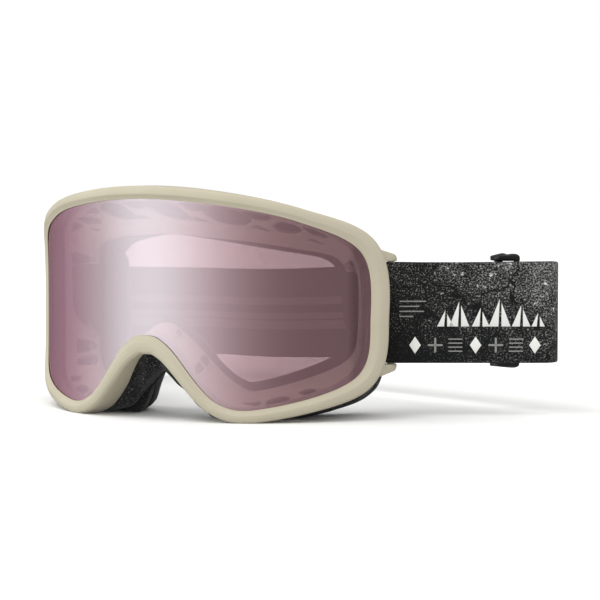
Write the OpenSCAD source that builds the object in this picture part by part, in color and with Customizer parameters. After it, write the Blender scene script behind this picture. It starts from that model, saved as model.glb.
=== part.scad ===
// Snow goggles: a cylindrical double lens in a moulded frame with a vented lattice wall,
// face foam in three layers, hinged strap outriggers and an elastic strap with a slider.
// X is across the face, Y runs back from the lens, Z is up. The origin is the middle of the
// nose notch's open mouth, below the front of the lens, in the plane that the goggles stand on.

/* [Lens] */
// Width of the visible lens seen from the front
lens_w = 153.8; // [146:0.2:162]
// Height of the visible lens from its lobes to its brow
lens_h = 81.6; // [76:0.2:88]
// Radius that the lens is curved to about an upright line
lens_r = 90; // [86:0.5:100]
// Thickness of the outer lens
outer_lens_t = 1.3; // [1:0.1:1.6]
// Thickness of the inner lens
inner_lens_t = 0.8; // [0.6:0.1:1]
// Air gap between the two lenses, which the gasket fills at the edge
lens_gap = 4.4; // [3.6:0.1:4.8]
// How far the lenses run under the lip of the rim
lens_lap = 3; // [2.4:0.1:3.2]
// Width of the gasket between the lenses
gasket_w = 3.6; // [2.4:0.1:4.4]
// Drop from the brow's middle to the temple corners
brow_drop = 21.3; // [18:0.1:25]
// Distance of each lobe's lowest point from the middle
lobe_x = 47; // [44:0.2:50]
// Height of the nose notch's top above the lobes
notch_h = 27.6; // [24:0.2:31]
// Width of the nose notch between the lobes' inner corners
notch_w = 57.4; // [54:0.2:60]

/* [Rim] */
// Width of the rim's front face at brow and lobes
rim_w = 4.8; // [4.4:0.1:5.2]
// Width of the rim's front face at the temples
rim_side_w = 7.8; // [6.6:0.1:8]
// Width of the rim's front face over the nose
rim_nose_w = 7.2; // [6.4:0.1:7.8]
// Depth of the rim behind the lens's front
rim_depth = 8; // [7.4:0.1:9]
// How far the rim stands proud of the lens
rim_proud = 1.8; // [1.2:0.1:2.4]
// Width of the bevel that runs down to the lens
bevel_w = 2; // [1.4:0.1:2.6]

/* [Chassis] */
// Depth of the eye opening's edge behind the lens's front, over the nose
opening_d = 13; // [12.5:0.1:14]
// How much further back the eye opening's edge is at the temples
face_bow = 42; // [39:0.5:43]
// Width of the eye opening seen from the front
opening_w = 122.8; // [121:0.2:124]
// Distance from the brow of the lens down to the opening
brow_wall = 14.5; // [13:0.1:16]
// Distance from the lobes of the lens up to the opening
lobe_wall = 5.8; // [5.4:0.1:6.6]
// Depth of the back of the face flange's rim behind the lens
flange_d = 18; // [17.6:0.1:18.6]
// Thickness of the face flange and of the lattice wall
wall_t = 1.7; // [1.5:0.1:1.8]
// Distance between the leaf-shaped windows of the brow, in knots of the outline
leaf_pitch = 0.88; // [0.84:0.01:0.92]

/* [Face foam] */
// Thickness of the firm foam layer on the flange
base_foam_t = 8; // [5:0.5:10]
// Thickness of the soft foam layer
soft_foam_t = 6.4; // [4:0.2:8]
// Thickness of the fleece that touches the face
fleece_t = 1.4; // [1:0.1:2]
// How far the foam stands outside the lens's outline at the brow
foam_side = 3.5; // [3.3:0.1:4]
// How far the foam stands outside the lens's outline at the lobes
foam_lobe = 6.2; // [5.8:0.1:7]
// How far the foam stands outside the lens's outline at the cheeks
foam_cheek = 7.4; // [6:0.1:8]
// Height of the foam's notch over the nose at the flange
foam_notch_h = 18.5; // [16:0.5:20]
// Width of the foam's notch over the nose at the ground
foam_notch_w = 38; // [36:0.5:42]
// How much higher the foam's notch over the nose is at the face
foam_taper = 9; // [6:0.5:10]
// How much the foam's edge in the eye opening drops towards the face over the nose
foam_eye_taper = 3; // [1:0.5:4]
// How far the foam reaches into the eye opening past the flange's edge
foam_lip = 5; // [4:0.1:5.4]

/* [Outriggers] */
// How far each hinge pin is outside the back of the rim at the temple
pin_out = 3.44; // [3.3:0.02:4]
// How far each hinge pin is behind the back of the rim at the temple
pin_behind = 8.6; // [8.2:0.1:9.6]
// Radius of the hinge pins
pin_r = 1.1; // [0.9:0.05:1.3]
// Wall of the outrigger's and the rim's hinge barrels
barrel_wall = 1; // [0.8:0.05:1.1]
// Distance from the hinge pin to the strap bar
arm_l = 5.6; // [5.5:0.1:7]
// Radius of the strap bar
bar_r = 1.4; // [1.2:0.05:1.5]
// Thickness of the outrigger's two arms at the hinge
arm_t = 4.9; // [4:0.1:6]
// How much thinner the arms are at the strap bar
arm_slope = 2.1; // [1:0.1:2.4]
// Height of the rim's ear between the outrigger's barrels
ear_h = 26; // [18:0.5:30]

/* [Strap] */
// Width of the strap
strap_w = 40; // [36:0.5:42]
// Thickness of the strap
strap_t = 1.5; // [1.2:0.1:1.6]
// Height of the strap's middle at the outriggers
strap_z = 41.3; // [40:0.1:44]
// Length of the straight run from the right outrigger to the fold
front_run = 60; // [50:1:80]
// Radius of the strap's outer layer at the fold
fold_r = 6; // [5:0.5:12]
// Direction of the straight run behind the fold, in degrees from +X
rear_heading = 160; // [150:1:170]
// Length of the straight run behind the fold
rear_run = 200; // [170:1:230]
// Radius of the wide turn that brings the strap round to the left side
turn_r = 45; // [38:0.5:55]
// How far the free strap hangs down at its lowest
droop = 11; // [4:0.5:12]
// Fall of the strap for each millimetre past the fold, where the slider runs
slope = 0.045; // [0.03:0.005:0.06]
// Thickness of the silicone stripes inside the strap
grip_t = 0.4; // [0.3:0.05:0.6]

/* [Slider] */
// Distance of the slider from the fold along the strap
slider_at = 27; // [22:0.5:32]
// Distance between the slider's two outer bars
slider_pitch = 9.6; // [9:0.1:12]
// Radius of the slider's bars
slider_bar_r = 1.2; // [1:0.05:1.4]
// Height of the slider's lobes past the strap's edge
slider_lobe = 3.4; // [2.8:0.1:4]

/* [Hidden] */

beige = [0.80, 0.77, 0.69];
charcoal = [0.22, 0.22, 0.22];
webbing = [0.13, 0.13, 0.13];

// Clearances
seat = 0.3;      // a rigid piece to the piece that it rests on
hinge_gap = 0.05; // pin in its bore, on the radius
glue = 0.2;      // foam layer to what it is glued to
swing = 0.3;     // faces that slide past each other

// Loop points for each stretch between two knots of an outline
per = 6;
face_turn = 0.2; // share of the lens's wrap that the walls behind the rim keep

half_w = lens_w / 2;
lens_low = 5.4;  // height of the lobes' lowest knot above the ground
lens_top = lens_low + lens_h;

// Right half of the visible lens's edge from the brow round to the nose, as x and z
lens_knots = [
  [0, lens_top],
  [0.406 * half_w, lens_top - 0.11 * brow_drop],
  [0.744 * half_w, lens_top - 0.406 * brow_drop],
  [0.972 * half_w, lens_top - brow_drop],
  [half_w, lens_low + 0.43 * lens_h],
  [0.956 * half_w, lens_low + 0.142 * lens_h],
  [lobe_x, lens_low],
  [notch_w / 2, lens_low + 0.088 * notch_h],
  [0.178 * notch_w, lens_low + 0.839 * notch_h],
  [0, lens_low + notch_h]
];

// Right half of the eye opening's edge, with a knot for each knot of the lens
eye_half = opening_w / 2;
eye_top = lens_top - brow_wall;
eye_low = lens_low + lobe_wall;
eye_knots = [
  [0, eye_top],
  [0.44 * eye_half, eye_top - 0.1 * brow_drop],
  [0.75 * eye_half, eye_top - 0.27 * brow_drop],
  [0.957 * eye_half, eye_top - 0.526 * brow_drop],
  [eye_half, lens_low + 0.45 * lens_h],
  [0.985 * eye_half, eye_low + 0.135 * lens_h],
  [0.6 * eye_half, eye_low],
  [0.46 * notch_w, eye_low + 0.11 * notch_h],
  [0.19 * notch_w, lens_low + 0.92 * notch_h],
  [0, lens_low + 1.16 * notch_h]
];

// Flattens a list of lists by one level
function flat(lists) = [for (l = lists) each l];

// Closed outline knots from the right half
function mirrored(half) = concat(half, [for (i = [len(half) - 2:-1:1]) [-half[i].x, half[i].y]]);

// Uniform Catmull-Rom spline through closed knots, at u knots from the first one
function spline(k, u) =
  let (n = len(k), i = floor(u), t = u - i,
       a = k[(i + n - 1) % n], b = k[(i + n) % n], c = k[(i + 1) % n], d = k[(i + 2) % n])
  0.5 * (2 * b + (c - a) * t + (2 * a - 5 * b + 4 * c - d) * t * t
         + (3 * b - a - 3 * c + d) * t * t * t);

// A front-view point unrolled from the lens's cylinder: arc length across, and height
function unrolled(p) = [lens_r * asin(p.x / lens_r) * PI / 180, p.y];

lens_closed = mirrored([for (p = lens_knots) unrolled(p)]);
eye_closed = mirrored(eye_knots);
knots = len(lens_closed);
steps = knots * per;

// Outline point at u, moved outwards by n within the plane that the outline is drawn in
function outline(k, u, n) =
  let (w = (u + knots) % knots, p = spline(k, w),
       t = spline(k, (w + 0.02) % knots) - spline(k, (w + knots - 0.02) % knots))
  p + n * [-t.y, t.x] / norm(t);

// Point of space for an unrolled point at depth d behind the lens's front: straight in towards
// the lens's axis through the rim, and nearly straight back behind it
function place(q, d) =
  let (a = q.x / lens_r * 180 / PI, f = a * face_turn,
       e = min(d, rim_depth), b = max(d - rim_depth, 0))
  [(lens_r - e) * sin(a) - b * sin(f), lens_r - (lens_r - e) * cos(a) + b * cos(f), q.y];

// Right half of the face foam's outer edge: it follows the lens down to the lobe, where it turns
// up into a notch of its own that closes in on the nose
foam_knots = concat(
  [for (i = [0:4]) outline(lens_closed, i, foam_side)],
  [outline(lens_closed, 5, foam_cheek), outline(lens_closed, 6, foam_lobe)],
  [[foam_notch_w / 2, -0.6], [0.276 * foam_notch_w, foam_notch_h * 0.6], [0, foam_notch_h]]
);
foam_closed = mirrored(foam_knots);

function lens_ring(n, d) = [for (i = [0:steps - 1]) place(outline(lens_closed, i / per, n), d)];

// Point beside the eye opening: n outwards from its edge and d behind it, which bows back
// towards the temples
function eye_point(u, n, d) =
  let (p = outline(eye_closed, u, n), x = spline(eye_closed, u).x)
  [p.x, opening_d + face_bow * pow(x / eye_half, 2) + d, p.y];
function eye_ring(n, d) = [for (i = [0:steps - 1]) eye_point(i / per, n, d)];

// Weight of the temples and of the nose at outline position u, from 0 to 1
function at_temple(u) = pow(abs(spline(lens_closed, u).x) / unrolled([half_w, 0]).x, 6);
function at_nose(u) =
  let (p = spline(lens_closed, u)) p.y < lens_top - lens_h / 2 ? exp(-pow(p.x / 14, 2)) : 0;

function rim_width(u) =
  rim_w + (rim_side_w - rim_w) * at_temple(u) + (rim_nose_w - rim_w) * at_nose(u);

// Ring that follows the rim's own width: share of the width plus a fixed part
function rim_ring(share, fixed, d) =
  [for (i = [0:steps - 1])
     place(outline(lens_closed, i / per, share * rim_width(i / per) + fixed), d)];

// Outer and inner ring of the face foam at d behind the flange: it thins over the nose, and
// reaches into the eye opening most at the temples
foam_t = base_foam_t + soft_foam_t + fleece_t + 3 * glue;
function over_nose(u) = exp(-pow((u - knots / 2) / 2.6, 2));
function foam_ring(inset, d) =
  [for (i = [0:steps - 1])
     let (u = i / per, n = -inset - foam_taper * over_nose(u) * d / foam_t)
     place(outline(foam_closed, u, n), flange_d + d)];
function foam_eye_ring(inset, d) =
  [for (i = [0:steps - 1])
     let (u = i / per, n = inset + foam_eye_taper * over_nose(u) * d / foam_t,
          lip = foam_lip * min(1, min(u, knots - u) / 3) + 1.6 * at_temple(u) - 3 * over_nose(u))
     eye_point(u, n - lip, 2 * wall_t + d)];

// Two triangles for the corners a, b, d, c of a patch, split along its shorter diagonal
function patch(p, a, b, c, d) =
  norm(p[a] - p[d]) <= norm(p[b] - p[c]) ? [[a, b, d], [a, d, c]] : [[a, b, c], [b, d, c]];

// Closed band: rings of points, each a loop, joined in order and back to the first
module band(rings) {
  m = len(rings);
  n = len(rings[0]);
  p = flat(rings);
  polyhedron(p, flat([
    for (i = [0:m - 1]) for (j = [0:n - 1])
      patch(p, i * n + j, i * n + (j + 1) % n, (i + 1) % m * n + j, (i + 1) % m * n + (j + 1) % n)
  ]));
}

// Open strip: sections of points along a path, closed by a flat cap at each end
module strip(sections) {
  m = len(sections);
  n = len(sections[0]);
  p = flat(sections);
  polyhedron(p, concat(
    flat([
      for (i = [0:m - 2]) for (j = [0:n - 1])
        patch(p, i * n + j, i * n + (j + 1) % n, (i + 1) * n + j, (i + 1) * n + (j + 1) % n)
    ]),
    [for (j = [1:n - 2]) [0, j + 1, j]],
    [for (j = [1:n - 2]) [(m - 1) * n, (m - 1) * n + j, (m - 1) * n + j + 1]]
  ));
}

// Cuts off what would reach below the ground
module on_ground() {
  difference() {
    children();
    translate([-lens_w, -lens_r, -lens_h]) cube([2 * lens_w, 3 * lens_r, lens_h]);
  }
}

// Lenses: a shell of the cylinder, trimmed to the outline, with its edge under the rim's lip

module lens(front_d, t) {
  back_r = lens_r - front_d - t;
  edge = [
    for (i = [0:steps - 1])
      let (q = outline(lens_closed, i / per, lens_lap))
      [back_r * sin(q.x / lens_r * 180 / PI), q.y]
  ];
  intersection() {
    translate([0, lens_r, 0]) difference() {
      cylinder(r = lens_r - front_d, h = lens_top + lens_lap + 1, $fn = 240);
      translate([0, 0, -1]) cylinder(r = back_r, h = lens_top + lens_lap + 3, $fn = 240);
    }
    translate([0, lens_r * 0.75, 0]) rotate([90, 0, 0]) linear_extrude(lens_r) polygon(edge);
  }
}

inner_lens_d = outer_lens_t + lens_gap;
stack_d = inner_lens_d + inner_lens_t;

module outer_lens() {
  color([0.66, 0.50, 0.55, 0.6]) lens(0, outer_lens_t);
}

module inner_lens() {
  color([0.80, 0.74, 0.76, 0.5]) lens(inner_lens_d, inner_lens_t);
}

module lens_gasket() {
  front = outer_lens_t + glue;
  back = inner_lens_d - glue;
  inner = lens_lap - 0.4 - gasket_w;
  outer = lens_lap - 0.4;
  color([0.55, 0.47, 0.50])
    band([lens_ring(inner, front), lens_ring(inner, back),
          lens_ring(outer, back), lens_ring(outer, front)]);
}

// Rim: the visible front frame, with a bevel down to the lens and an ear for each outrigger

lens_wall = lens_lap + 0.4; // the rim's inner wall, just outside the lenses' edges
barrel_r = pin_r + hinge_gap + barrel_wall;
temple = place(unrolled([half_w, 0]), rim_depth);
pin_x = temple.x + pin_out;
pin_y = temple.y + pin_behind;
ear_low = strap_z - ear_h / 2;

module rim_ear() {
  root = place(outline(lens_closed, knots * 2 / 9, lens_wall + 1.2), rim_depth - 1.5);
  difference() {
    translate([0, 0, ear_low]) linear_extrude(ear_h) hull() {
      translate([pin_x, pin_y]) circle(r = barrel_r, $fn = 32);
      translate([root.x, root.y]) circle(r = 1, $fn = 32);
    }
    translate([pin_x, pin_y, ear_low - 1]) cylinder(r = pin_r + hinge_gap, h = ear_h + 2, $fn = 48);
  }
}

module front_rim() {
  color(beige) {
    on_ground() band([
      lens_ring(lens_wall, -seat),
      lens_ring(lens_wall, rim_depth),
      rim_ring(1, -0.5, rim_depth),
      rim_ring(1, 0, rim_depth - 0.5),
      rim_ring(1, 0, 0),
      rim_ring(1, -0.5, -rim_proud * 0.72),
      rim_ring(1, -1.6, -rim_proud),
      rim_ring(0, bevel_w, -rim_proud),
      rim_ring(0, bevel_w * 0.15, -rim_proud * 0.45),
      rim_ring(0, 0, -seat)
    ]);
    rim_ear();
    mirror([1, 0, 0]) rim_ear();
  }
}

// Chassis: the lattice wall that runs from the lens to the eye opening, and the face flange

chassis_d = stack_d + seat;
flange_front_d = flange_d - wall_t;
flange_out = 3;   // how far the flange reaches outside the lens's outline
channel_in = 2.6; // from the opening's edge to the bottom of the channel behind the lattice

// Point of the lattice wall's front surface: u along the outline, w from the lens to the opening
function wall_point(u, w) =
  let (v = (u + knots) % knots,
       a = place(outline(lens_closed, v, -0.8), chassis_d),
       b = eye_point(v, 0, 0))
  a + (b - a) * w;

// A window's corners as [u, w], cut back to a rounded outline and pushed through the wall
module window(corners) {
  n = len(corners);
  loop = flat([
    for (i = [0:n - 1])
      let (a = corners[i], b = corners[(i + 1) % n])
      [a + (b - a) * 0.24, b + (a - b) * 0.24]
  ]);
  mid = [for (k = [0, 1]) [for (c = loop) c[k]] * [for (c = loop) 1] / len(loop)];
  along = wall_point(mid[0] + 0.03, mid[1]) - wall_point(mid[0] - 0.03, mid[1]);
  across = wall_point(mid[0], mid[1] + 0.03) - wall_point(mid[0], mid[1] - 0.03);
  out = cross(along, across);
  dir = out / norm(out);
  hull() strip([
    [for (c = loop) wall_point(c[0], c[1]) - 2.5 * wall_t * dir],
    [for (c = loop) wall_point(c[0], c[1]) + 2.5 * wall_t * dir]
  ]);
}

// One pitch of the brow: a leaf that leans by lean, and the two small windows between it and
// the next leaf
module brow_cell(u, lean) {
  window([[u - 0.3, 0.27 - 0.16 * lean], [u - 0.16, 0.08 - 0.05 * lean],
          [u + 0.14, 0.08 + 0.04 * lean], [u + 0.3, 0.27 + 0.16 * lean],
          [u + 0.18, 0.47 + 0.05 * lean], [u - 0.14, 0.47 - 0.14 * lean]]);
  window([[u + 0.22, 0.07], [u + 0.62, 0.07], [u + 0.56, 0.21], [u + 0.38, 0.24]]);
  window([[u + 0.32, 0.53], [u + 0.4, 0.43], [u + 0.62, 0.53]]);
}

// Windows of the wearer's right corner, where the lattice fans out
module corner_fan() {
  window([[-1.16, 0.24], [-1.14, 0.04], [-1.56, 0.08]]);
  window([[-1.28, 0.53], [-1.28, 0.34], [-1.88, 0.1], [-1.74, 0.36]]);
  window([[-1.66, 0.68], [-1.42, 0.66], [-1.84, 0.48]]);
  window([[-1.9, 0.38], [-2.04, 0.12], [-2.54, 0.19]]);
}

module chassis_windows() {
  for (k = [-1:2]) brow_cell(0.13 + k * leaf_pitch, min(1, 1 - 0.9 * k));
  corner_fan();
  for (turn = [-1, 1]) {
    window([[turn * 2.1, 0.86], [turn * 2.16, 0.5], [turn * 2.7, 0.24], [turn * 2.92, 0.2],
            [turn * 2.9, 0.55]]);
    window([[turn * 3.1, 0.96], [turn * 3.08, 0.25], [turn * 3.34, 0.28], [turn * 3.2, 0.96]]);
    window([[turn * 4.66, 0.4], [turn * 4.86, 0.98], [turn * 5.04, 0.98], [turn * 4.96, 0.4]]);
    window([[turn * 5.1, 0.4], [turn * 5.16, 0.98], [turn * 5.4, 0.95], [turn * 5.24, 0.4]]);
    window([[turn * 5.42, 0.16], [turn * 5.5, 0.6], [turn * 5.6, 0.58], [turn * 5.56, 0.16]]);
    window([[turn * 5.7, 0.12], [turn * 5.76, 0.6], [turn * 5.95, 0.55], [turn * 6, 0.12]]);
    window([[turn * 6.12, 0.12], [turn * 6.06, 0.5], [turn * 6.5, 0.55]]);
    window([[turn * 7.47, 0.06], [turn * 7.5, 1.15], [turn * 7.64, 1.15], [turn * 7.57, 0.06]]);
    window([[turn * 8.12, 0.38], [turn * 8.26, 1.15], [turn * 8.46, 1.15], [turn * 8.24, 0.36]]);
  }
}

// Room beside each temple, where the wall and the flange stop short and the face foam shows
cut_x = eye_half + 0.39 * (half_w - eye_half); // outer edge
cut_low = lens_low + 0.24 * lens_h;
cut_high = lens_low + 0.64 * lens_h;
cut_r = 3; // radius of its corners

module temple_cut() {
  translate([0, lens_r, 0]) rotate([90, 0, 0]) linear_extrude(lens_r) hull() {
    for (z = [cut_low + 0.15 * lens_h, cut_high - 0.05 * lens_h])
      translate([cut_x - cut_r, z]) circle(r = cut_r, $fn = 24);
    for (z = [cut_low + cut_r, cut_high - 0.025 * lens_h])
      translate([eye_half - 2, z]) circle(r = cut_r, $fn = 24);
  }
}

module chassis() {
  color(beige) difference() {
    band([
      lens_ring(-0.8, chassis_d),
      eye_ring(0, 0),
      eye_ring(0, 2 * wall_t),
      lens_ring(flange_out, flange_d),
      lens_ring(flange_out, flange_front_d),
      eye_ring(channel_in, wall_t),
      lens_ring(-0.8, chassis_d + wall_t),
      lens_ring(lens_lap, chassis_d + wall_t),
      lens_ring(lens_lap, chassis_d)
    ]);
    chassis_windows();
    temple_cut();
    mirror([1, 0, 0]) temple_cut();
  }
}

// Vent foam: strips in the channel between the lattice wall and the face flange

// Point that is dist from a on the way to b
function towards(a, b, dist) = a + (b - a) / norm(b - a) * dist;

module vent_foam(a, b) {
  front = chassis_d + wall_t + seat;
  vent_gap = 2;  // from the strip's outer back edge to the flange
  color(charcoal) on_ground() strip([
    for (u = [a:1 / per:b + 0.01])
      let (v = (u + knots) % knots,
           end = eye_point(v, channel_in, wall_t),
           rim_side = place(outline(lens_closed, v, flange_out), flange_front_d),
           lens_side = place(outline(lens_closed, v, -0.8), chassis_d + wall_t))
      [
        place(outline(lens_closed, v, 1.6), front),
        place(outline(lens_closed, v, rim_width(v) - 0.8), front),
        place(outline(foam_closed, v, -0.8), flange_front_d - vent_gap),
        towards(rim_side + (end - rim_side) * 0.55, lens_side, 3 * glue),
        towards(lens_side + (end - lens_side) * 0.45, rim_side, 3 * glue)
      ]
  ]);
}

module vent_foam_top() {
  vent_foam(-2.5, 2.5);
}

module vent_foam_bottom() {
  vent_foam(5.75, knots - 5.75);
}

// Face foam: three layers that follow the flange

soft_d = glue + base_foam_t + glue;
fleece_d = soft_d + soft_foam_t + glue;

module foam_base() {
  back = glue + base_foam_t;
  color(charcoal) on_ground() band([
    lens_ring(flange_out, flange_d + glue),
    eye_ring(0, 2 * wall_t + glue),
    foam_eye_ring(0, glue),
    foam_eye_ring(0.2, back),
    foam_ring(0.8, back),
    foam_ring(0, glue)
  ]);
}

module foam_soft() {
  middle = soft_d + soft_foam_t * 0.5;
  back = soft_d + soft_foam_t;
  color(charcoal * 1.2) on_ground() band([
    foam_eye_ring(0.4, soft_d),
    foam_eye_ring(0, middle),
    foam_eye_ring(0.8, back),
    foam_ring(1.6, back),
    foam_ring(0, middle),
    foam_ring(0.6, soft_d)
  ]);
}

module foam_fleece() {
  back = fleece_d + fleece_t;
  color(charcoal * 0.8) on_ground() band([
    foam_eye_ring(0.8, fleece_d),
    foam_eye_ring(1.2, back),
    foam_ring(2, back),
    foam_ring(1.6, fleece_d)
  ]);
}

// Outriggers: a strap bar between two arms, hinged on a pin through the rim's ear

bar_angle = 59; // from the pin to the right bar, in degrees from +X
bar_pos = [pin_x + arm_l * cos(bar_angle), pin_y + arm_l * sin(bar_angle)];
boss_r = bar_r + 1;
barrel_h = (strap_w - ear_h) / 2 + 1.4 - swing; // from the ear into an arm
arm_in = strap_w / 2 + 0.4; // from the strap's middle to the arms' inner faces
arm_out = arm_in + arm_t;
arm_low = strap_z - arm_out;
outrigger_h = 2 * arm_out;

// Seen from above, an arm is a link round the pin and the bar; seen from the side, its outer face
// slopes down to a corner that is cut off twice
module outrigger_arm() {
  end = arm_l + boss_r;
  intersection() {
    linear_extrude(arm_out) hull() {
      circle(r = barrel_r + 0.3, $fn = 32);
      translate([arm_l, 0]) circle(r = boss_r, $fn = 32);
    }
    translate([0, arm_l, 0]) rotate([90, 0, 0]) linear_extrude(2 * arm_l) polygon([
      [-arm_l, arm_in], [end + 1, arm_in], [end + 1, arm_in + 0.4], [end - 0.5, arm_in + 1.5],
      [arm_l + 0.7, arm_out - arm_slope], [0.3, arm_out - 0.2], [-arm_l, arm_out]
    ]);
  }
}

module outrigger() {
  color(beige) difference() {
    union() {
      translate([pin_x, pin_y, strap_z]) rotate([0, 0, bar_angle]) {
        outrigger_arm();
        mirror([0, 0, 1]) outrigger_arm();
      }
      translate([bar_pos.x, bar_pos.y, strap_z - arm_in - 1])
        cylinder(r = bar_r, h = 2 * arm_in + 2, $fn = 48);
      for (z = [strap_z - arm_in - 1, ear_low + ear_h + swing])
        translate([pin_x, pin_y, z]) cylinder(r = barrel_r, h = barrel_h, $fn = 48);
    }
    translate([pin_x, pin_y, arm_low - 1])
      cylinder(r = pin_r + hinge_gap, h = outrigger_h + 2, $fn = 48);
  }
}

module hinge_pin() {
  color("silver") translate([pin_x, pin_y, arm_low + 0.8])
    cylinder(r = pin_r, h = outrigger_h - 1.6, $fn = 48);
}

module outrigger_right() {
  outrigger();
}

module outrigger_left() {
  mirror([1, 0, 0]) outrigger();
}

module hinge_pin_right() {
  hinge_pin();
}

module hinge_pin_left() {
  mirror([1, 0, 0]) hinge_pin();
}

// Strap: its route seen from above is a line, a tight fold, a line, a wide turn and a line to
// the left bar. A station is [x, y, heading, distance]. Offsets b are outwards from the loop.

run_heading = 30; // of the straight run from the right outrigger
loop_gap = 0.3;   // strap to the bar that it goes round
loop_off = bar_r + loop_gap + strap_t / 2; // strap's middle from the bar's middle
ply = strap_t + 0.3; // between the middles of two layers that lie together

function heading(h) = [cos(h), sin(h)];
function outwards(h) = [sin(h), -cos(h)];

left_bar = [-bar_pos.x, bar_pos.y];
start = bar_pos + loop_off * outwards(run_heading);
fold_at = start + front_run * heading(run_heading);
fold_c = fold_at - fold_r * outwards(run_heading);
fold_turn = rear_heading - run_heading;
fold_l = fold_r * fold_turn * PI / 180;
fold_end = fold_c + fold_r * outwards(rear_heading);
rear_end = fold_end + rear_run * heading(rear_heading);
turn_c = rear_end - turn_r * outwards(rear_heading);
// Heading of the last line: it leaves the wide turn and passes the left bar on its outside
to_turn = turn_c - left_bar;
left_heading = atan2(to_turn.y, to_turn.x) - 180 + asin((turn_r - loop_off) / norm(to_turn)) + 360;
turn_l = turn_r * (left_heading - rear_heading) * PI / 180;
turn_end = turn_c + turn_r * outwards(left_heading);
left_at = left_bar + loop_off * outwards(left_heading);
last_l = norm(left_at - turn_end);

s_fold = front_run;
s_rear = s_fold + fold_l;
s_turn = s_rear + rear_run;
s_last = s_turn + turn_l;
s_end = s_last + last_l;
s_free = s_rear + 0.3 * rear_run; // the strap falls evenly up to here, where the slider runs
s_low = s_turn + turn_r / 3;      // the strap's lowest point

function route(s) =
  s < s_fold ? [start + s * heading(run_heading), run_heading]
  : s < s_rear
    ? let (h = run_heading + (s - s_fold) / fold_r * 180 / PI) [fold_c + fold_r * outwards(h), h]
  : s < s_turn ? [fold_end + (s - s_rear) * heading(rear_heading), rear_heading]
  : s < s_last
    ? let (h = rear_heading + (s - s_turn) / turn_r * 180 / PI) [turn_c + turn_r * outwards(h), h]
  : [turn_end + (s - s_last) * heading(left_heading), left_heading];

// Cubic from height a with slope m to height b, level there, for t from 0 to 1 over a length l
function ease(a, m, b, l, t) =
  (2 * t * t * t - 3 * t * t + 1) * a + (t * t * t - 2 * t * t + t) * l * m
  + (3 * t * t - 2 * t * t * t) * b;

function sag(s) =
  s <= s_rear ? 0
  : s <= s_free ? -slope * (s - s_rear)
  : s <= s_low
    ? let (l = s_low - s_free) ease(-slope * (s_free - s_rear), -slope, -droop, l, (s - s_free) / l)
  : ease(-droop, 0, 0, s_end - s_low, (s - s_low) / (s_end - s_low));

// Rectangular section of a ribbon at s, from offset b0 to b1 and height z0 to z1
function ribbon(s, b0, b1, z0, z1) =
  let (p = route(s)[0], o = outwards(route(s)[1]), z = strap_z + sag(s))
  [
    [each (p + b0 * o), z + z0], [each (p + b1 * o), z + z0],
    [each (p + b1 * o), z + z1], [each (p + b0 * o), z + z1]
  ];

// Stations from a to b: close together round the fold, and wider elsewhere
function stations(a, b) = [
  a,
  for (i = [0:10]) let (s = s_fold + fold_l * i / 10) if (s > a + 1 && s < b - 1) s,
  for (s = [s_free:10:s_turn - 1]) if (s > a + 1 && s < b - 1) s,
  for (i = [0:24]) let (s = s_turn + turn_l * i / 24) if (s > a + 1 && s < b - 1) s,
  for (i = [1:4]) let (s = s_last + last_l * i / 5) if (s > a + 1 && s < b - 1) s,
  b
];

module webbing(a, b, middle, t = strap_t, low = -strap_w / 2, high = strap_w / 2) {
  strip([for (s = stations(a, b)) ribbon(s, middle - t / 2, middle + t / 2, low, high)]);
}

stitch = 0.2;    // layers that are sewn together sink into each other by this much
stub = 2;        // straight part of the loop round a bar
end_l = 14;      // stretch next to an outrigger that gives as it swings
slider_s = s_rear + slider_at;
tail_l = 9;      // sewn part of the loop on the slider
join_s = s_rear + 5;

// Places a flat shape in plan at a point of the route, X along the strap and Y inwards
module at_route(s, h = strap_w) {
  p = route(s);
  translate([p[0].x, p[0].y, strap_z + sag(s) - h / 2])
    rotate([0, 0, p[1]]) linear_extrude(h) children();
}

// Half ring round a bar with its two straight stubs, open towards +X
module half_loop(r, l) {
  difference() {
    circle(r = r + strap_t, $fn = 64);
    circle(r = r, $fn = 64);
    translate([0, -2 * r - strap_t]) square([2 * r + strap_t, 4 * r + 2 * strap_t]);
  }
  for (y = [-r - strap_t, r]) translate([0, y]) square([l, strap_t]);
}

module strap_loop_right() {
  color(webbing) at_route(0) translate([0, loop_off]) half_loop(bar_r + loop_gap, stub);
}

module strap_loop_left() {
  color(webbing) at_route(s_end) translate([0, loop_off]) mirror([1, 0])
    half_loop(bar_r + loop_gap, stub);
}

// Between the right loop and the run, the inner layer closes up to the outer one
module strap_right_end() {
  far = 2 * loop_off;
  h = strap_t / 2;
  color(webbing) at_route(0) {
    translate([stub, -h]) square([end_l - stub, strap_t]);
    polygon([[stub, far - h], [end_l, ply - h], [end_l, ply + h], [stub, far + h]]);
  }
}

// The left end is sewn to itself behind the bar
module strap_left_end() {
  far = 2 * loop_off;
  h = strap_t / 2;
  sewn = end_l * 0.7;
  color(webbing) at_route(s_end) union() {
    translate([-end_l, -h]) square([end_l - stub, strap_t]);
    polygon([[-stub, far - h], [-sewn, h - stitch], [-end_l, h - stitch], [-end_l, h + strap_t],
             [-sewn, h + strap_t], [-stub, far + h]]);
  }
}

module strap_front() {
  color(webbing) webbing(end_l, join_s, 0);
}

module strap_inner() {
  color(webbing) webbing(end_l, join_s, -ply);
}

module strap_inner_end() {
  color(webbing) webbing(join_s, slider_s - tail_l, -ply);
}

module strap_rear() {
  color(webbing) webbing(join_s, s_end - end_l, 0);
}

// Three silicone stripes on the strap's inner face: [height, width]
stripes = [[5.3, 1.4], [-1.4, 2], [-5.4, 0.8]];

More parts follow.
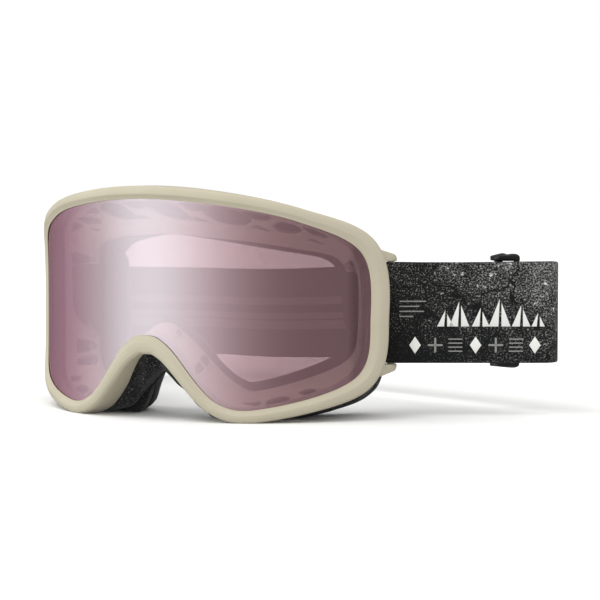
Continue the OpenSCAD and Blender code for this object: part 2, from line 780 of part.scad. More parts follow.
module strap_grips() {
  color("dimgray")
    for (g = stripes)
      webbing(s_free + 6, s_end - end_l - 12, -(strap_t + grip_t) / 2, grip_t,
              g[0] - g[1] / 2, g[0] + g[1] / 2);
}

// Slider: two outer bars outside the strap, a middle bar inside it, and two lobed end plates

slider_loop_r = slider_bar_r + loop_gap;
mid_bar_y = ply + slider_loop_r + strap_t / 2;
outer_bar_y = -(strap_t / 2 + swing + slider_bar_r);

module slider_plate(extra) {
  r = slider_bar_r + extra;
  hull() {
    for (x = [-slider_pitch / 2, slider_pitch / 2])
      translate([x, outer_bar_y]) circle(r = r, $fn = 32);
    for (x = [-slider_pitch / 4, slider_pitch / 4])
      translate([x, mid_bar_y]) circle(r = r, $fn = 32);
  }
}

module slider() {
  inner_h = strap_w + 0.8;
  outer_h = strap_w + 2 * slider_lobe;
  color(webbing) {
    for (x = [-slider_pitch / 2, slider_pitch / 2])
      at_route(slider_s, outer_h - 1) translate([x, outer_bar_y]) circle(r = slider_bar_r, $fn = 48);
    at_route(slider_s, outer_h - 1) translate([0, mid_bar_y]) circle(r = slider_bar_r, $fn = 48);
    difference() {
      at_route(slider_s, outer_h) slider_plate(0.4);
      at_route(slider_s, inner_h) square(slider_pitch * 4, center = true);
      for (e = [-1, 1]) translate([0, 0, e * outer_h / 2 + strap_z + sag(slider_s)])
        translate([route(slider_s)[0].x, route(slider_s)[0].y, 0]) rotate([0, 0, rear_heading])
          rotate([90, 0, 0]) cylinder(r = slider_pitch * 0.17, h = 40, center = true, $fn = 48);
    }
  }
}

// The strap's end goes round the slider's middle bar and is sewn back on itself
module slider_loop() {
  r = slider_loop_r;
  far = mid_bar_y + r;
  h = strap_t / 2;
  color(webbing) at_route(slider_s) union() {
    translate([0, mid_bar_y]) difference() {
      circle(r = r + strap_t, $fn = 64);
      circle(r = r, $fn = 64);
      translate([-2 * far, -2 * far]) square([2 * far, 4 * far]);
    }
    polygon([[stitch, far], [-tail_l * 0.7, ply + h - stitch], [-tail_l, ply + h - stitch],
             [-tail_l, ply + h + strap_t], [-tail_l * 0.7, ply + h + strap_t],
             [stitch, far + strap_t]]);
    translate([-tail_l, ply - h]) square([tail_l + stitch, strap_t]);
  }
}

front_rim();
chassis();
outer_lens();
inner_lens();
lens_gasket();
vent_foam_top();
vent_foam_bottom();
foam_base();
foam_soft();
foam_fleece();
outrigger_left();
outrigger_right();
hinge_pin_left();
hinge_pin_right();
strap_loop_left();
strap_loop_right();
strap_left_end();
strap_right_end();
strap_front();
strap_inner();
strap_inner_end();
strap_rear();
strap_grips();
slider();
slider_loop();
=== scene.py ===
"""Snow goggles: the finish and the modelled pieces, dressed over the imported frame.

Lengths below are in millimetres, as on a maker's drawing, and become metres when a mesh is made.
X is across the face, Y runs back from the lens, Z is up, and the ground is at Z = 0.
"""

import bmesh
import bpy
import numpy as np
from mathutils import Matrix, Vector


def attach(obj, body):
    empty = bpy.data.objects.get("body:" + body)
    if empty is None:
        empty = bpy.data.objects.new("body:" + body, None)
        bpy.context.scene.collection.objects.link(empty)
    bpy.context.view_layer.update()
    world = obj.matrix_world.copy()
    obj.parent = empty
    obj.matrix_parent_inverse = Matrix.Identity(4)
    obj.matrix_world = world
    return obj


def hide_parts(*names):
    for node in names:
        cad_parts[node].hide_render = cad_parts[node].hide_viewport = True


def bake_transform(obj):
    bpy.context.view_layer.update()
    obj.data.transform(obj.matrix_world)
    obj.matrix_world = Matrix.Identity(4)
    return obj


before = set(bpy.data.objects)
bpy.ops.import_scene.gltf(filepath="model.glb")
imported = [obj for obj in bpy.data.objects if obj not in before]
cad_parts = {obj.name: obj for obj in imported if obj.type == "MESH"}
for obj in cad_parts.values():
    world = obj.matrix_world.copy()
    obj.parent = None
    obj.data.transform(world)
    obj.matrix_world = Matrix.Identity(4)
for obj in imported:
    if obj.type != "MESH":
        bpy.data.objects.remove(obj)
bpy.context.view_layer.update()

MM = 0.001

# ---------------------------------------------------------------- sizes, as in the CAD source

LENS_W, LENS_H, LENS_R = 153.8, 81.6, 90.0
OUTER_LENS_T, INNER_LENS_T, LENS_GAP, LENS_LAP = 1.3, 0.8, 4.4, 3.0
BROW_DROP, LOBE_X, NOTCH_H, NOTCH_W = 21.3, 47.0, 27.6, 57.4
LENS_LOW = 5.4
LENS_TOP = LENS_LOW + LENS_H
HALF_W = LENS_W / 2

RIM_W, RIM_SIDE_W, RIM_NOSE_W = 4.8, 7.8, 7.2
RIM_DEPTH, LENS_WALL = 8.0, 3.4

OPENING_D, FACE_BOW, OPENING_W = 13.0, 42.0, 122.8
BROW_WALL, LOBE_WALL, FLANGE_D, WALL_T = 14.5, 5.8, 18.0, 1.7
LEAF_PITCH = 0.88
CHASSIS_D = OUTER_LENS_T + LENS_GAP + INNER_LENS_T + 0.3
FLANGE_OUT, CHANNEL_IN = 3.0, 2.6
WALL_START = -0.8  # the lattice wall begins inside the lens's edge
FACE_TURN = 0.2

BASE_FOAM_T, SOFT_FOAM_T, FLEECE_T, GLUE = 8.0, 6.4, 1.4, 0.2
FOAM_SIDE, FOAM_LOBE, FOAM_CHEEK = 3.5, 7.0, 9.4
FOAM_NOTCH_H, FOAM_NOTCH_W = 18.5, 38.0
FOAM_TAPER, FOAM_EYE_TAPER, FOAM_LIP = 10.5, 3.0, 5.0
FOAM_T = BASE_FOAM_T + SOFT_FOAM_T + FLEECE_T + 3 * GLUE

PIN_X, PIN_Y, BARREL_R = 73.5044, 55.9976, 2.15
ARM_L, BAR_R, ARM_T, ARM_SLOPE, EAR_H, BAR_ANGLE = 5.6, 1.4, 4.9, 2.1, 26.0, 59.0
BOSS_R = BAR_R + 1

STRAP_W, STRAP_T, STRAP_Z = 40.0, 1.5, 41.3
RUN_HEADING, REAR_HEADING = 30.0, 160.0
FRONT_RUN, FOLD_R, REAR_RUN, TURN_R = 60.0, 6.0, 200.0, 45.0
DROOP, SLOPE, GRIP_T = 11.0, 0.045, 0.4
LOOP_OFF = BAR_R + 0.3 + STRAP_T / 2
PLY = STRAP_T + 0.3
STUB, END_L, TAIL_L = 2.0, 14.0, 9.0
STRIPES = [(5.3, 1.4), (-1.4, 2.0), (-5.4, 0.8)]  # height and width of each silicone stripe

SLIDER_AT, SLIDER_PITCH, SLIDER_BAR_R, SLIDER_LOBE = 27.0, 9.6, 1.2, 3.4

# ---------------------------------------------------------------- sizes of the scene alone

GASKET_W = 2.4  # the part that shows; the CAD tape reaches 1.2 further in
WINDOW_SCALE, WINDOW_DRAFT = 1.12, 0.4
RIM_DEEPER, RIM_SHALLOWER = 3.0, 4.0  # the rim's wall beside the nose and over it
FOAM_BROW_IN, FOAM_NOSE_OUT = 2.0, 1.2  # the face foam's outer edge, behind and in front
CUT_SHRINK = 0.06  # cut foam, drawn in from its profile
ROUND_EDGE = 0.25  # posts' and bars' ends
PLATE_ROUNDNESS = 0.45  # power of the slider plate's section: 1 is an ellipse, 0 a box
STITCH_PITCH, STITCH_L, STITCH_W = 2.4, 1.6, 0.56
HARD_EDGE, CLOTH_EDGE = 40, 50  # degrees over which an edge of a mesh stays crisp


# ---------------------------------------------------------------- outlines


def spline(knots, u):
    """Uniform Catmull-Rom spline through closed knots, at u knots from the first one."""
    n = len(knots)
    i = np.floor(u).astype(int)
    t = (u - i)[..., None]
    a, b, c, d = (knots[(i + k) % n] for k in (-1, 0, 1, 2))
    return 0.5 * (
        2 * b + (c - a) * t + (2 * a - 5 * b + 4 * c - d) * t**2 + (3 * b - a - 3 * c + d) * t**3
    )


def outline(knots, u, out):
    """Point of the closed outline at u, moved outwards by out along the outline's own normal."""
    u = np.asarray(u, float)
    tangent = spline(knots, u + 0.02) - spline(knots, u - 0.02)
    normal = np.stack([-tangent[..., 1], tangent[..., 0]], -1)
    normal /= np.linalg.norm(normal, axis=-1, keepdims=True)
    return spline(knots, u) + np.asarray(out, float)[..., None] * normal


def mirrored(half):
    """Closed knots from the right half: the half, then the same points with X turned round."""
    half = np.array(half, float)
    return np.concatenate([half, half[-2:0:-1] * (-1, 1)])


def unrolled(points):
    """Front-view points laid flat: X becomes the arc length on the lens's cylinder."""
    points = np.array(points, float)
    return np.column_stack([LENS_R * np.arcsin(points[:, 0] / LENS_R), points[:, 1]])


LENS_KNOTS = mirrored(
    unrolled(
        [
            (0, LENS_TOP),
            (0.406 * HALF_W, LENS_TOP - 0.11 * BROW_DROP),
            (0.744 * HALF_W, LENS_TOP - 0.406 * BROW_DROP),
            (0.972 * HALF_W, LENS_TOP - BROW_DROP),
            (HALF_W, LENS_LOW + 0.43 * LENS_H),
            (0.956 * HALF_W, LENS_LOW + 0.142 * LENS_H),
            (LOBE_X, LENS_LOW),
            (NOTCH_W / 2, LENS_LOW + 0.088 * NOTCH_H),
            (0.178 * NOTCH_W, LENS_LOW + 0.839 * NOTCH_H),
            (0, LENS_LOW + NOTCH_H),
        ]
    )
)
EYE_HALF = OPENING_W / 2
EYE_TOP, EYE_LOW = LENS_TOP - BROW_WALL, LENS_LOW + LOBE_WALL
EYE_KNOTS = mirrored(
    [
        (0, EYE_TOP),
        (0.44 * EYE_HALF, EYE_TOP - 0.1 * BROW_DROP),
        (0.75 * EYE_HALF, EYE_TOP - 0.27 * BROW_DROP),
        (0.957 * EYE_HALF, EYE_TOP - 0.526 * BROW_DROP),
        (EYE_HALF, LENS_LOW + 0.45 * LENS_H),
        (0.985 * EYE_HALF, EYE_LOW + 0.135 * LENS_H),
        (0.6 * EYE_HALF, EYE_LOW),
        (0.46 * NOTCH_W, EYE_LOW + 0.11 * NOTCH_H),
        (0.19 * NOTCH_W, LENS_LOW + 0.92 * NOTCH_H),
        (0, LENS_LOW + 1.16 * NOTCH_H),
    ]
)
KNOTS = len(LENS_KNOTS)
FOAM_KNOTS = mirrored(
    np.concatenate(
        [
            outline(LENS_KNOTS, np.arange(5.0), np.full(5, FOAM_SIDE)),
            outline(LENS_KNOTS, np.array([5.0, 6.0]), np.array([FOAM_CHEEK, FOAM_LOBE])),
            [
                (FOAM_NOTCH_W / 2 + 2.5, -0.6),
                (0.276 * FOAM_NOTCH_W, FOAM_NOTCH_H * 0.6),
                (0, FOAM_NOTCH_H),
            ],
        ]
    )
)


def place(q, d):
    """Point of space for a flat point q at depth d behind the lens: on the lens's cylinder down
    to the rim's depth, then nearly straight back."""
    d = np.asarray(d, float)
    a = q[..., 0] / LENS_R
    inner, back = np.minimum(d, RIM_DEPTH), np.maximum(d - RIM_DEPTH, 0)
    r = LENS_R - inner
    turn = a * FACE_TURN
    return np.stack(
        [
            r * np.sin(a) - back * np.sin(turn),
            LENS_R - r * np.cos(a) + back * np.cos(turn),
            q[..., 1],
        ],
        -1,
    )


def lens_point(u, out, d):
    """Point at u along the lens's edge, out outside it and d behind the lens's front."""
    u, out, d = np.broadcast_arrays(np.asarray(u, float), out, d)
    return place(outline(LENS_KNOTS, u, out), d)


def eye_point(u, out, d):
    """Point beside the eye opening, out outwards from its edge and d behind it. The edge bows
    back with the square of the distance from the middle."""
    u, out, d = np.broadcast_arrays(np.asarray(u, float), out, d)
    p = outline(EYE_KNOTS, u, out)
    x = spline(EYE_KNOTS, u)[..., 0]
    return np.stack([p[..., 0], OPENING_D + FACE_BOW * (x / EYE_HALF) ** 2 + d, p[..., 1]], -1)


# places along the outline, in knots from the middle of the brow
NOSE_K, BESIDE_NOSE_K, OVER_NOSE_K, LOBE_K = KNOTS / 2, 7.15, 8.4, 6.9
VENT_TOP_END, VENT_BOTTOM_START = 4.4, 4.66


def hump(x, centre, width):
    """Bell over x: 1 at the centre, 0.37 at a width from it and nearly 0 at two widths."""
    return np.exp(-(((x - centre) / width) ** 2))


def smooth(t):
    """Smooth step from 0 to 1, level at both ends."""
    return 3 * t**2 - 2 * t**3


def from_brow(u):
    """Knots from the middle of the brow to u, alike on both sides."""
    return np.minimum(u % KNOTS, KNOTS - u % KNOTS)


def at_temple(u):
    """Weight of the temples: the sixth power of the share of the lens's half width."""
    return np.abs(spline(LENS_KNOTS, u)[..., 0] / LENS_KNOTS[4, 0]) ** 6


def at_nose(u):
    """Weight of the nose notch: a bell over X in the lower half of the lens."""
    p = spline(LENS_KNOTS, u)
    return np.where(p[..., 1] < LENS_TOP - LENS_H / 2, hump(p[..., 0], 0, 14), 0)


def over_nose(u):
    """Weight of the foam's taper: a bell over the knots round the nose."""
    return hump(u % KNOTS, NOSE_K, 2.6)


def rim_width(u):
    """Width of the rim's face at u: brow width, plus what temples and nose add."""
    return RIM_W + (RIM_SIDE_W - RIM_W) * at_temple(u) + (RIM_NOSE_W - RIM_W) * at_nose(u)


def foam_point(u, inset, d):
    """Point of the face foam's outer edge, d behind the flange. In step with d, the edge lifts
    over the nose and draws in along the brow."""
    behind = d / FOAM_T
    nose = hump(u % KNOTS, NOSE_K, 1.9)
    brow = FOAM_BROW_IN * np.clip((3.6 - from_brow(u)) / 1.2, 0, 1)
    n = -inset - (FOAM_TAPER * nose + brow) * behind + FOAM_NOSE_OUT * nose * (1 - behind)
    return place(outline(FOAM_KNOTS, u, n), np.full(np.shape(u), FLANGE_D + d))


def foam_eye_point(u, inset, d):
    """Point of the face foam's edge in the eye opening, d behind the flange, which reaches past
    the opening's edge by the lip's width."""
    v = from_brow(u)
    behind = d / FOAM_T
    lip = FOAM_LIP * np.minimum(1, v / 3) + 1.6 * at_temple(u)
    cheek, far, near = (
        size * hump(v, k, width)
        for size, k, width in ((8.0, 7.1, 1.2), (1.9, 3.4, 0.75), (2.0, 2.35, 0.6))
    )
    n = inset + (FOAM_EYE_TAPER * over_nose(u) + cheek + far) * behind + near * (1 - behind)
    return eye_point(u, n - lip + 3 * over_nose(u), 2 * WALL_T + d)


# ---------------------------------------------------------------- making meshes


def grid_faces(rows, columns, loop):
    """Quads between neighbours on a grid of points whose rows are closed. With loop, the last
    row meets the first as well."""
    i = np.arange(rows if loop else rows - 1)[:, None]
    j = np.arange(columns)[None, :]
    i2, j2 = (i + 1) % rows, (j + 1) % columns
    quads = [i * columns + j, i * columns + j2, i2 * columns + j2, i2 * columns + j]
    return np.stack(np.broadcast_arrays(*quads), -1).reshape(-1, 4)


def tube(points, uv=None):
    """Closed tube from a grid of points: each row is a closed section, the rows follow a path,
    and a flat cap closes each end."""
    rows, columns = points.shape[:2]
    faces = grid_faces(rows, columns, False).tolist()
    faces += [list(range(columns)), list(range((rows - 1) * columns, rows * columns))]
    flat_uv = None if uv is None else uv.reshape(-1, 2)
    return points.reshape(-1, 3), faces, flat_uv


def ring(points):
    """Closed band from a grid of points that is a loop both along and across."""
    rows, columns = points.shape[:2]
    return points.reshape(-1, 3), grid_faces(rows, columns, True).tolist(), None


def dome(points):
    """Closed shell from rings of points whose first and last row are each one point repeated:
    those rows become a single pole."""
    rows, columns = points.shape[:2]
    middle = points[1:-1].reshape(-1, 3)
    faces = grid_faces(rows - 2, columns, False).tolist()
    j = np.arange(columns)
    first, last = len(middle), len(middle) + 1
    near = np.column_stack([j, (j + 1) % columns, np.full(columns, first)])
    far = (rows - 3) * columns + np.column_stack([(j + 1) % columns, j])
    far = np.column_stack([far, np.full(columns, last)])
    verts = np.concatenate([middle, points[:1, 0], points[-1:, 0]])
    return verts, faces + near.tolist() + far.tolist(), None


def joined(parts):
    """Several (points, faces, uv) as one, with each part's faces counted on."""
    verts, faces, uvs, count = [], [], [], 0
    for v, f, uv in parts:
        verts.append(v)
        faces += [[k + count for k in face] for face in f]
        uvs.append(np.zeros((len(v), 2)) if uv is None else uv)
        count += len(v)
    return np.concatenate(verts), faces, np.concatenate(uvs)


def build(name, part, material, sharp=None):
    """Object from (points in mm, faces, uv per point): metres, outward faces and smooth shading,
    with edges over the sharp angle, in degrees, left crisp."""
    verts, faces, uv = part
    mesh = bpy.data.meshes.new(name)
    mesh.from_pydata((np.asarray(verts) * MM).tolist(), [], faces)
    if uv is not None:
        corner = np.zeros(len(mesh.loops), np.int32)
        mesh.loops.foreach_get("vertex_index", corner)
        layer = mesh.uv_layers.new(name="cloth")
        layer.data.foreach_set("uv", uv[corner].astype(np.float32).ravel())
    shell = bmesh.new()
    shell.from_mesh(mesh)
    bmesh.ops.recalc_face_normals(shell, faces=shell.faces)
    shell.to_mesh(mesh)
    shell.free()
    mesh.shade_smooth()
    if sharp is not None:
        mesh.set_sharp_from_angle(angle=np.radians(sharp))
    mesh.materials.append(material)
    piece = bpy.data.objects.new(name, mesh)
    bpy.context.scene.collection.objects.link(piece)
    return piece


def dress(piece, nodes, body="frame"):
    """The piece stands for these CAD nodes, which are hidden, and rides on the body if one is
    given.
    """
    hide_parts(*nodes)
    if body is not None:
        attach(piece, body)
    return piece


def rounded(rings, samples, blur):
    """Profile rings (corner, along, 3) as a smooth section: the closed polygon through the
    corners is sampled evenly by its mean length, then each sample is averaged with its
    neighbours over blur mm, which rounds every corner alike."""
    count = len(rings)
    steps = np.linalg.norm(np.roll(rings, -1, 0) - rings, axis=-1).mean(-1)
    marks = np.concatenate([[0], np.cumsum(steps)])
    t = np.linspace(0, marks[-1], samples, endpoint=False)
    i = np.clip(np.searchsorted(marks, t, "right") - 1, 0, count - 1)
    share = (t - marks[i]) / steps[i]
    weights = np.zeros((samples, count))
    weights[np.arange(samples), i] = 1 - share
    weights[np.arange(samples), (i + 1) % count] += share
    reach = max(1, int(round(blur / marks[-1] * samples / 2)))
    shifts = range(-reach, reach + 1)
    bell = np.array([1 - abs(k) / (reach + 1) for k in shifts])
    weights = sum(b * np.roll(weights, k, 0) for b, k in zip(bell, shifts)) / bell.sum()
    return np.tensordot(weights, rings, 1)


def grounded(points):
    """Points kept from sinking below the ground that the goggles stand on."""
    return np.maximum(points, [-np.inf, -np.inf, 0])


def ripple(shape, seed, spread):
    """Even field of small random numbers on a grid that closes on itself: noise averaged over
    spread neighbours both ways, with a mean square of one."""
    field = np.random.default_rng(seed).normal(size=shape)
    for axis in (0, 1):
        field = sum(np.roll(field, k, axis) for k in range(-spread, spread + 1))
    return field / field.std()


# ---------------------------------------------------------------- materials


def linear(hex_colour):
    """sRGB hex such as #cdc5b1 as a linear colour with full alpha."""
    c = np.array([int(hex_colour[i : i + 2], 16) for i in (1, 3, 5)]) / 255
    c = np.where(c <= 0.04045, c / 12.92, ((c + 0.055) / 1.055) ** 2.4)
    return (*c.tolist(), 1.0)


def add(tree, kind, inputs=None, **settings):
    """Adds a node: its settings by name, and for each input a value or the socket that feeds it."""
    node = tree.nodes.new(kind)
    for key, value in settings.items():
        setattr(node, key, value)
    for key, value in (inputs or {}).items():
        if isinstance(value, bpy.types.NodeSocket):
            tree.links.new(value, node.inputs[key])
        else:
            node.inputs[key].default_value = value
    return node


def new_material(name):
    """An empty node material and its tree."""
    material = bpy.data.materials.new(name)
    material.use_nodes = True
    tree = material.node_tree
    tree.nodes.clear()
    return material, tree


def here(tree):
    """Place on the piece, in metres."""
    return add(tree, "ShaderNodeTexCoord").outputs["Object"]


def finished(tree, shader, kind="ShaderNodeOutputMaterial"):
    """Makes the shader what the tree gives out."""
    add(tree, kind, {"Surface": shader})


def coated(tree, inputs):
    """Gives the tree one solid surface with these inputs."""
    finished(tree, add(tree, "ShaderNodeBsdfPrincipled", inputs).outputs[0])


def calc(tree, kind, a, b=0.0):
    """One step of arithmetic on sockets or numbers."""
    return add(tree, "ShaderNodeMath", {0: a, 1: b}, operation=kind).outputs[0]


def mixed(tree, fac, first, second):
    """Shader between two, by a factor from 0 to 1."""
    return add(tree, "ShaderNodeMixShader", {0: fac, 1: first, 2: second}).outputs[0]


def blended(tree, fac, low, high):
    """Colour between two, each a hex colour or a socket, by a factor from 0 to 1."""
    low, high = (linear(c) if isinstance(c, str) else c for c in (low, high))
    return add(tree, "ShaderNodeMix", {0: fac, 6: low, 7: high}, data_type="RGBA").outputs[2]


def between(tree, value, start, end, low=0.0, high=1.0):
    """Value turned to low at start and high at end, held there beyond them."""
    ends = {"From Min": start, "From Max": end, "To Min": low, "To Max": high}
    return add(tree, "ShaderNodeMapRange", {"Value": value, **ends}).outputs["Result"]


def noise(tree, where, size, detail=2.0, rough=0.5, unit=MM):
    """Cloudy noise whose lumps are size mm across. The unit is what a millimetre is in where."""
    inputs = {"Vector": where, "Scale": 1 / (size * unit), "Detail": detail, "Roughness": rough}
    return add(tree, "ShaderNodeTexNoise", inputs).outputs["Fac"]


def bumped(tree, height, depth, strength):
    """Bump of that depth in mm from a height between 0 and 1."""
    inputs = {"Height": height, "Strength": strength, "Distance": depth * MM}
    return add(tree, "ShaderNodeBump", inputs).outputs["Normal"]


def moulded_tpu(name, light, dark, roughness):
    """Thermoplastic polyurethane, injection moulded in an etched tool: an even, satin skin whose
    fine grain breaks up the highlight, with a faint cloudiness of colour."""
    material, tree = new_material(name)
    where = here(tree)
    cloud = noise(tree, where, 22.0)
    grain = noise(tree, where, 0.35, 3.0, 0.6)  # the etch is 0.1 mm; drawn coarser to show
    coated(
        tree,
        {
            "IOR": 1.5,
            "Specular IOR Level": 0.42,
            "Base Color": blended(tree, between(tree, cloud, 0.3, 0.7), dark, light),
            "Roughness": between(tree, grain, 0, 1, roughness - 0.05, roughness + 0.07),
            "Normal": bumped(tree, grain, 0.02, 0.5),
        },
    )
    return material


def mirrored_polycarbonate():
    """Polycarbonate dyed rose, with a vacuum-coated mirror on its front: part of the light comes
    back pink and the rest goes through, so both the soft light and the inside of the frame show.
    At a glancing angle the coating sends back more, and its pink turns cooler."""
    material, tree = new_material("mirror_coated_polycarbonate")
    dye = add(tree, "ShaderNodeBsdfTransparent", {"Color": ROSE_DYE})
    graze = add(tree, "ShaderNodeLayerWeight", {"Blend": 0.5}).outputs["Facing"]
    share = between(tree, graze, 0.34, 0.62, 0.4, 0.68)
    tone = blended(tree, between(tree, graze, 0.34, 0.6), "#ffcdd6", "#ffc6dc")
    mirror = add(tree, "ShaderNodeBsdfAnisotropic", {"Roughness": 0.03, "Color": tone})
    seen_through(tree, mixed(tree, share, dye.outputs[0], mirror.outputs[0]))
    return material


def seen_through(tree, film):
    """Shows the film to the eye and lets the light that falls on what is behind it pass freely,
    so the inside of the goggles is lit as by the real studio's strong lamps."""
    path = add(tree, "ShaderNodeLightPath").outputs["Is Camera Ray"]
    free = add(tree, "ShaderNodeBsdfTransparent", {"Color": (0.97, 0.96, 0.96, 1)})
    finished(tree, mixed(tree, path, free.outputs[0], film))


def clear_sheet(name, tint, gloss):
    """Clear plastic sheet, dyed through: it passes most light and mirrors a little of it."""
    material, tree = new_material(name)
    dye = add(tree, "ShaderNodeBsdfTransparent", {"Color": tint})
    sheen = add(tree, "ShaderNodeBsdfAnisotropic", {"Color": (1, 1, 1, 1), "Roughness": 0.08})
    seen_through(tree, mixed(tree, gloss, dye.outputs[0], sheen.outputs[0]))
    return material


def closed_cell_foam():
    """Closed-cell foam tape, die cut: a dull mauve face with tiny cells."""
    material, tree = new_material("die_cut_foam_tape")
    where = here(tree)
    cells = noise(tree, where, 0.5)
    coated(
        tree,
        {
            "Roughness": 0.75,
            "Base Color": blended(tree, between(tree, cells, 0.35, 0.65), "#8a7a82", "#a09097"),
            "Normal": bumped(tree, cells, 0.05, 0.5),
        },
    )
    return material


def open_cell_foam(name, dark, light, cell):
    """Open-cell polyurethane foam, cut from a block: dull charcoal pores, with pale specks painted
    in as highlights where the odd strut end would catch the light."""
    material, tree = new_material(name)
    where = here(tree)
    holes = {"Vector": where, "Scale": 1 / (cell * MM), "Randomness": 1.0}
    pores = add(tree, "ShaderNodeTexVoronoi", holes).outputs["Distance"]
    fine = noise(tree, where, cell * 0.8, 3.0, 0.7)
    # painted highlight: pale specks where strut ends would catch the light
    specks = between(tree, noise(tree, where, cell * 0.9, 4.0, 0.8), 0.57, 0.66)
    charcoal = blended(tree, between(tree, fine, 0.3, 0.7), dark, light)
    coated(
        tree,
        {
            "Roughness": 0.95,
            "Specular IOR Level": 0.2,
            "Sheen Weight": 0.15,
            "Base Color": blended(tree, specks, charcoal, "#8c8c8c"),
            "Normal": bumped(tree, calc(tree, "ADD", pores, fine), cell * 0.35, 0.7),
        },
    )
    return material


def brushed_fleece():
    """Polyester fleece, knitted and brushed: a soft grey nap that glows at its edges and lies in
    short tufts."""
    material, tree = new_material("brushed_fleece")
    where = here(tree)
    tufts = noise(tree, where, 0.9, 5.0, 0.75)
    patches = calc(tree, "MULTIPLY", noise(tree, where, 6.0), 0.35)
    nap = between(tree, calc(tree, "ADD", tufts, patches), 0.5, 0.85)
    coated(
        tree,
        {
            "Roughness": 1.0,
            "Specular IOR Level": 0.1,
            "Sheen Weight": 0.6,
            "Sheen Roughness": 0.5,
            "Sheen Tint": linear("#c9c9cb"),
            "Base Color": blended(tree, nap, "#707072", "#a2a2a4"),
            "Normal": bumped(tree, tufts, 0.4, 0.6),
        },
    )
    return material


def drawn_steel():
    """Stainless steel, drawn to wire: grey metal with fine scratches along its length."""
    material, tree = new_material("drawn_stainless_steel")
    where = here(tree)
    stretch = add(tree, "ShaderNodeMapping", {"Vector": where, "Scale": (1, 1, 0.04)})
    scratches = noise(tree, stretch.outputs[0], 0.3, 3.0)
    coated(
        tree,
        {
            "Base Color": linear("#b9b8b5"),
            "Metallic": 1.0,
            "Roughness": between(tree, scratches, 0, 1, 0.25, 0.42),
            "Normal": bumped(tree, scratches, 0.01, 0.3),
        },
    )
    return material


def cloth_place(tree):
    """The webbing's own coordinates in mm: along the strap, across it, and both as one place."""
    where = add(tree, "ShaderNodeUVMap", uv_map="cloth").outputs[0]
    axes = add(tree, "ShaderNodeSeparateXYZ", {"Vector": where})
    return axes.outputs["X"], axes.outputs["Y"], where


def woven_bump(tree, along, across):
    """Bump of narrow-woven elastic: ribs 0.8 mm wide along the strap, crossed by picks 0.5 mm
    apart. Real threads are half that and would not show."""
    ribs, picks = (
        calc(tree, "SINE", calc(tree, "MULTIPLY", place_mm, 2 * np.pi / pitch))
        for place_mm, pitch in ((across, 0.8), (along, 0.5))
    )
    height = between(tree, calc(tree, "MULTIPLY", ribs, picks), -1.0, 1.0)
    return bumped(tree, height, 0.08, 0.6)


def woven_elastic():
    """Polyester and elastane narrow weave, dyed black: dull, with fine ribs along the strap."""
    material, tree = new_material("woven_elastic")
    along, across, where = cloth_place(tree)
    flecks = between(tree, noise(tree, where, 0.8, 4.0, 0.7, 1), 0.3, 0.75)
    coated(
        tree,
        {
            "Roughness": 0.85,
            "Specular IOR Level": 0.25,
            "Sheen Weight": 0.12,
            "Base Color": blended(tree, flecks, "#0c0c0d", "#1a1a1b"),
            "Normal": woven_bump(tree, along, across),
        },
    )
    return material


def printed_elastic():
    """The same weave with a discharge print on its outer face: pale flecks gather in cloudy
    drifts over the black and thin dark veins wander through them. A plain stone-like mottle."""
    material, tree = new_material("printed_elastic")
    along, across, where = cloth_place(tree)

    # the print thickens along the strap, up its face and in cloudy drifts
    drift = calc(
        tree, "ADD", between(tree, along, 0.0, 60.0), between(tree, across, -16.0, 14.0)
    )
    cloud = between(tree, noise(tree, where, 11.0, 3.0, 0.6, 1), 0.3, 0.7)
    drift = between(tree, calc(tree, "ADD", drift, cloud), 0.5, 2.5)
    gain = calc(tree, "MULTIPLY", drift, 0.125)
    specks, blots = (
        between(
            tree, calc(tree, "ADD", noise(tree, where, size, detail, 0.75, 1), gain), low, high
        )
        for size, detail, low, high in ((0.7, 5.0, 0.6, 0.9), (2.4, 6.0, 0.69, 0.76))
    )

    # cells 24 mm wide with bent walls give the veins
    stir = add(tree, "ShaderNodeTexNoise", {"Vector": where, "Scale": 1 / 9.0, "Detail": 4.0})
    bent = add(
        tree,
        "ShaderNodeVectorMath",
        {0: stir.outputs["Color"], 1: (16, 16, 0), 2: where},
        operation="MULTIPLY_ADD",
    )
    veins = add(
        tree,
        "ShaderNodeTexVoronoi",
        {"Vector": bent.outputs[0], "Scale": 1 / 24.0, "Randomness": 1.0},
        feature="DISTANCE_TO_EDGE",
    )
    print_on = calc(tree, "MAXIMUM", specks, blots)
    for mask in (
        between(tree, veins.outputs["Distance"], 0.01, 0.025),
        calc(tree, "LESS_THAN", across, STRAP_W / 2 + 1),
    ):
        print_on = calc(tree, "MULTIPLY", print_on, mask)
    coated(
        tree,
        {
            "Roughness": 0.82,
            "Specular IOR Level": 0.25,
            "Sheen Weight": 0.1,
            "Base Color": blended(tree, print_on, "#0d0d0e", "#e2e1dc"),
            "Normal": woven_bump(tree, along, across),
        },
    )
    return material


def even_plastic(name, colour, roughness, grit, depth=0.02):
    """Plain moulded or printed plastic of one colour, with a fine grain in its gloss."""
    material, tree = new_material(name)
    where = here(tree)
    grain = noise(tree, where, grit, 3.0, 0.6)
    coated(
        tree,
        {
            "Base Color": linear(colour),
            "Roughness": between(tree, grain, 0, 1, roughness - 0.05, roughness + 0.05),
            "Normal": bumped(tree, grain, depth, 0.5),
        },
    )
    return material


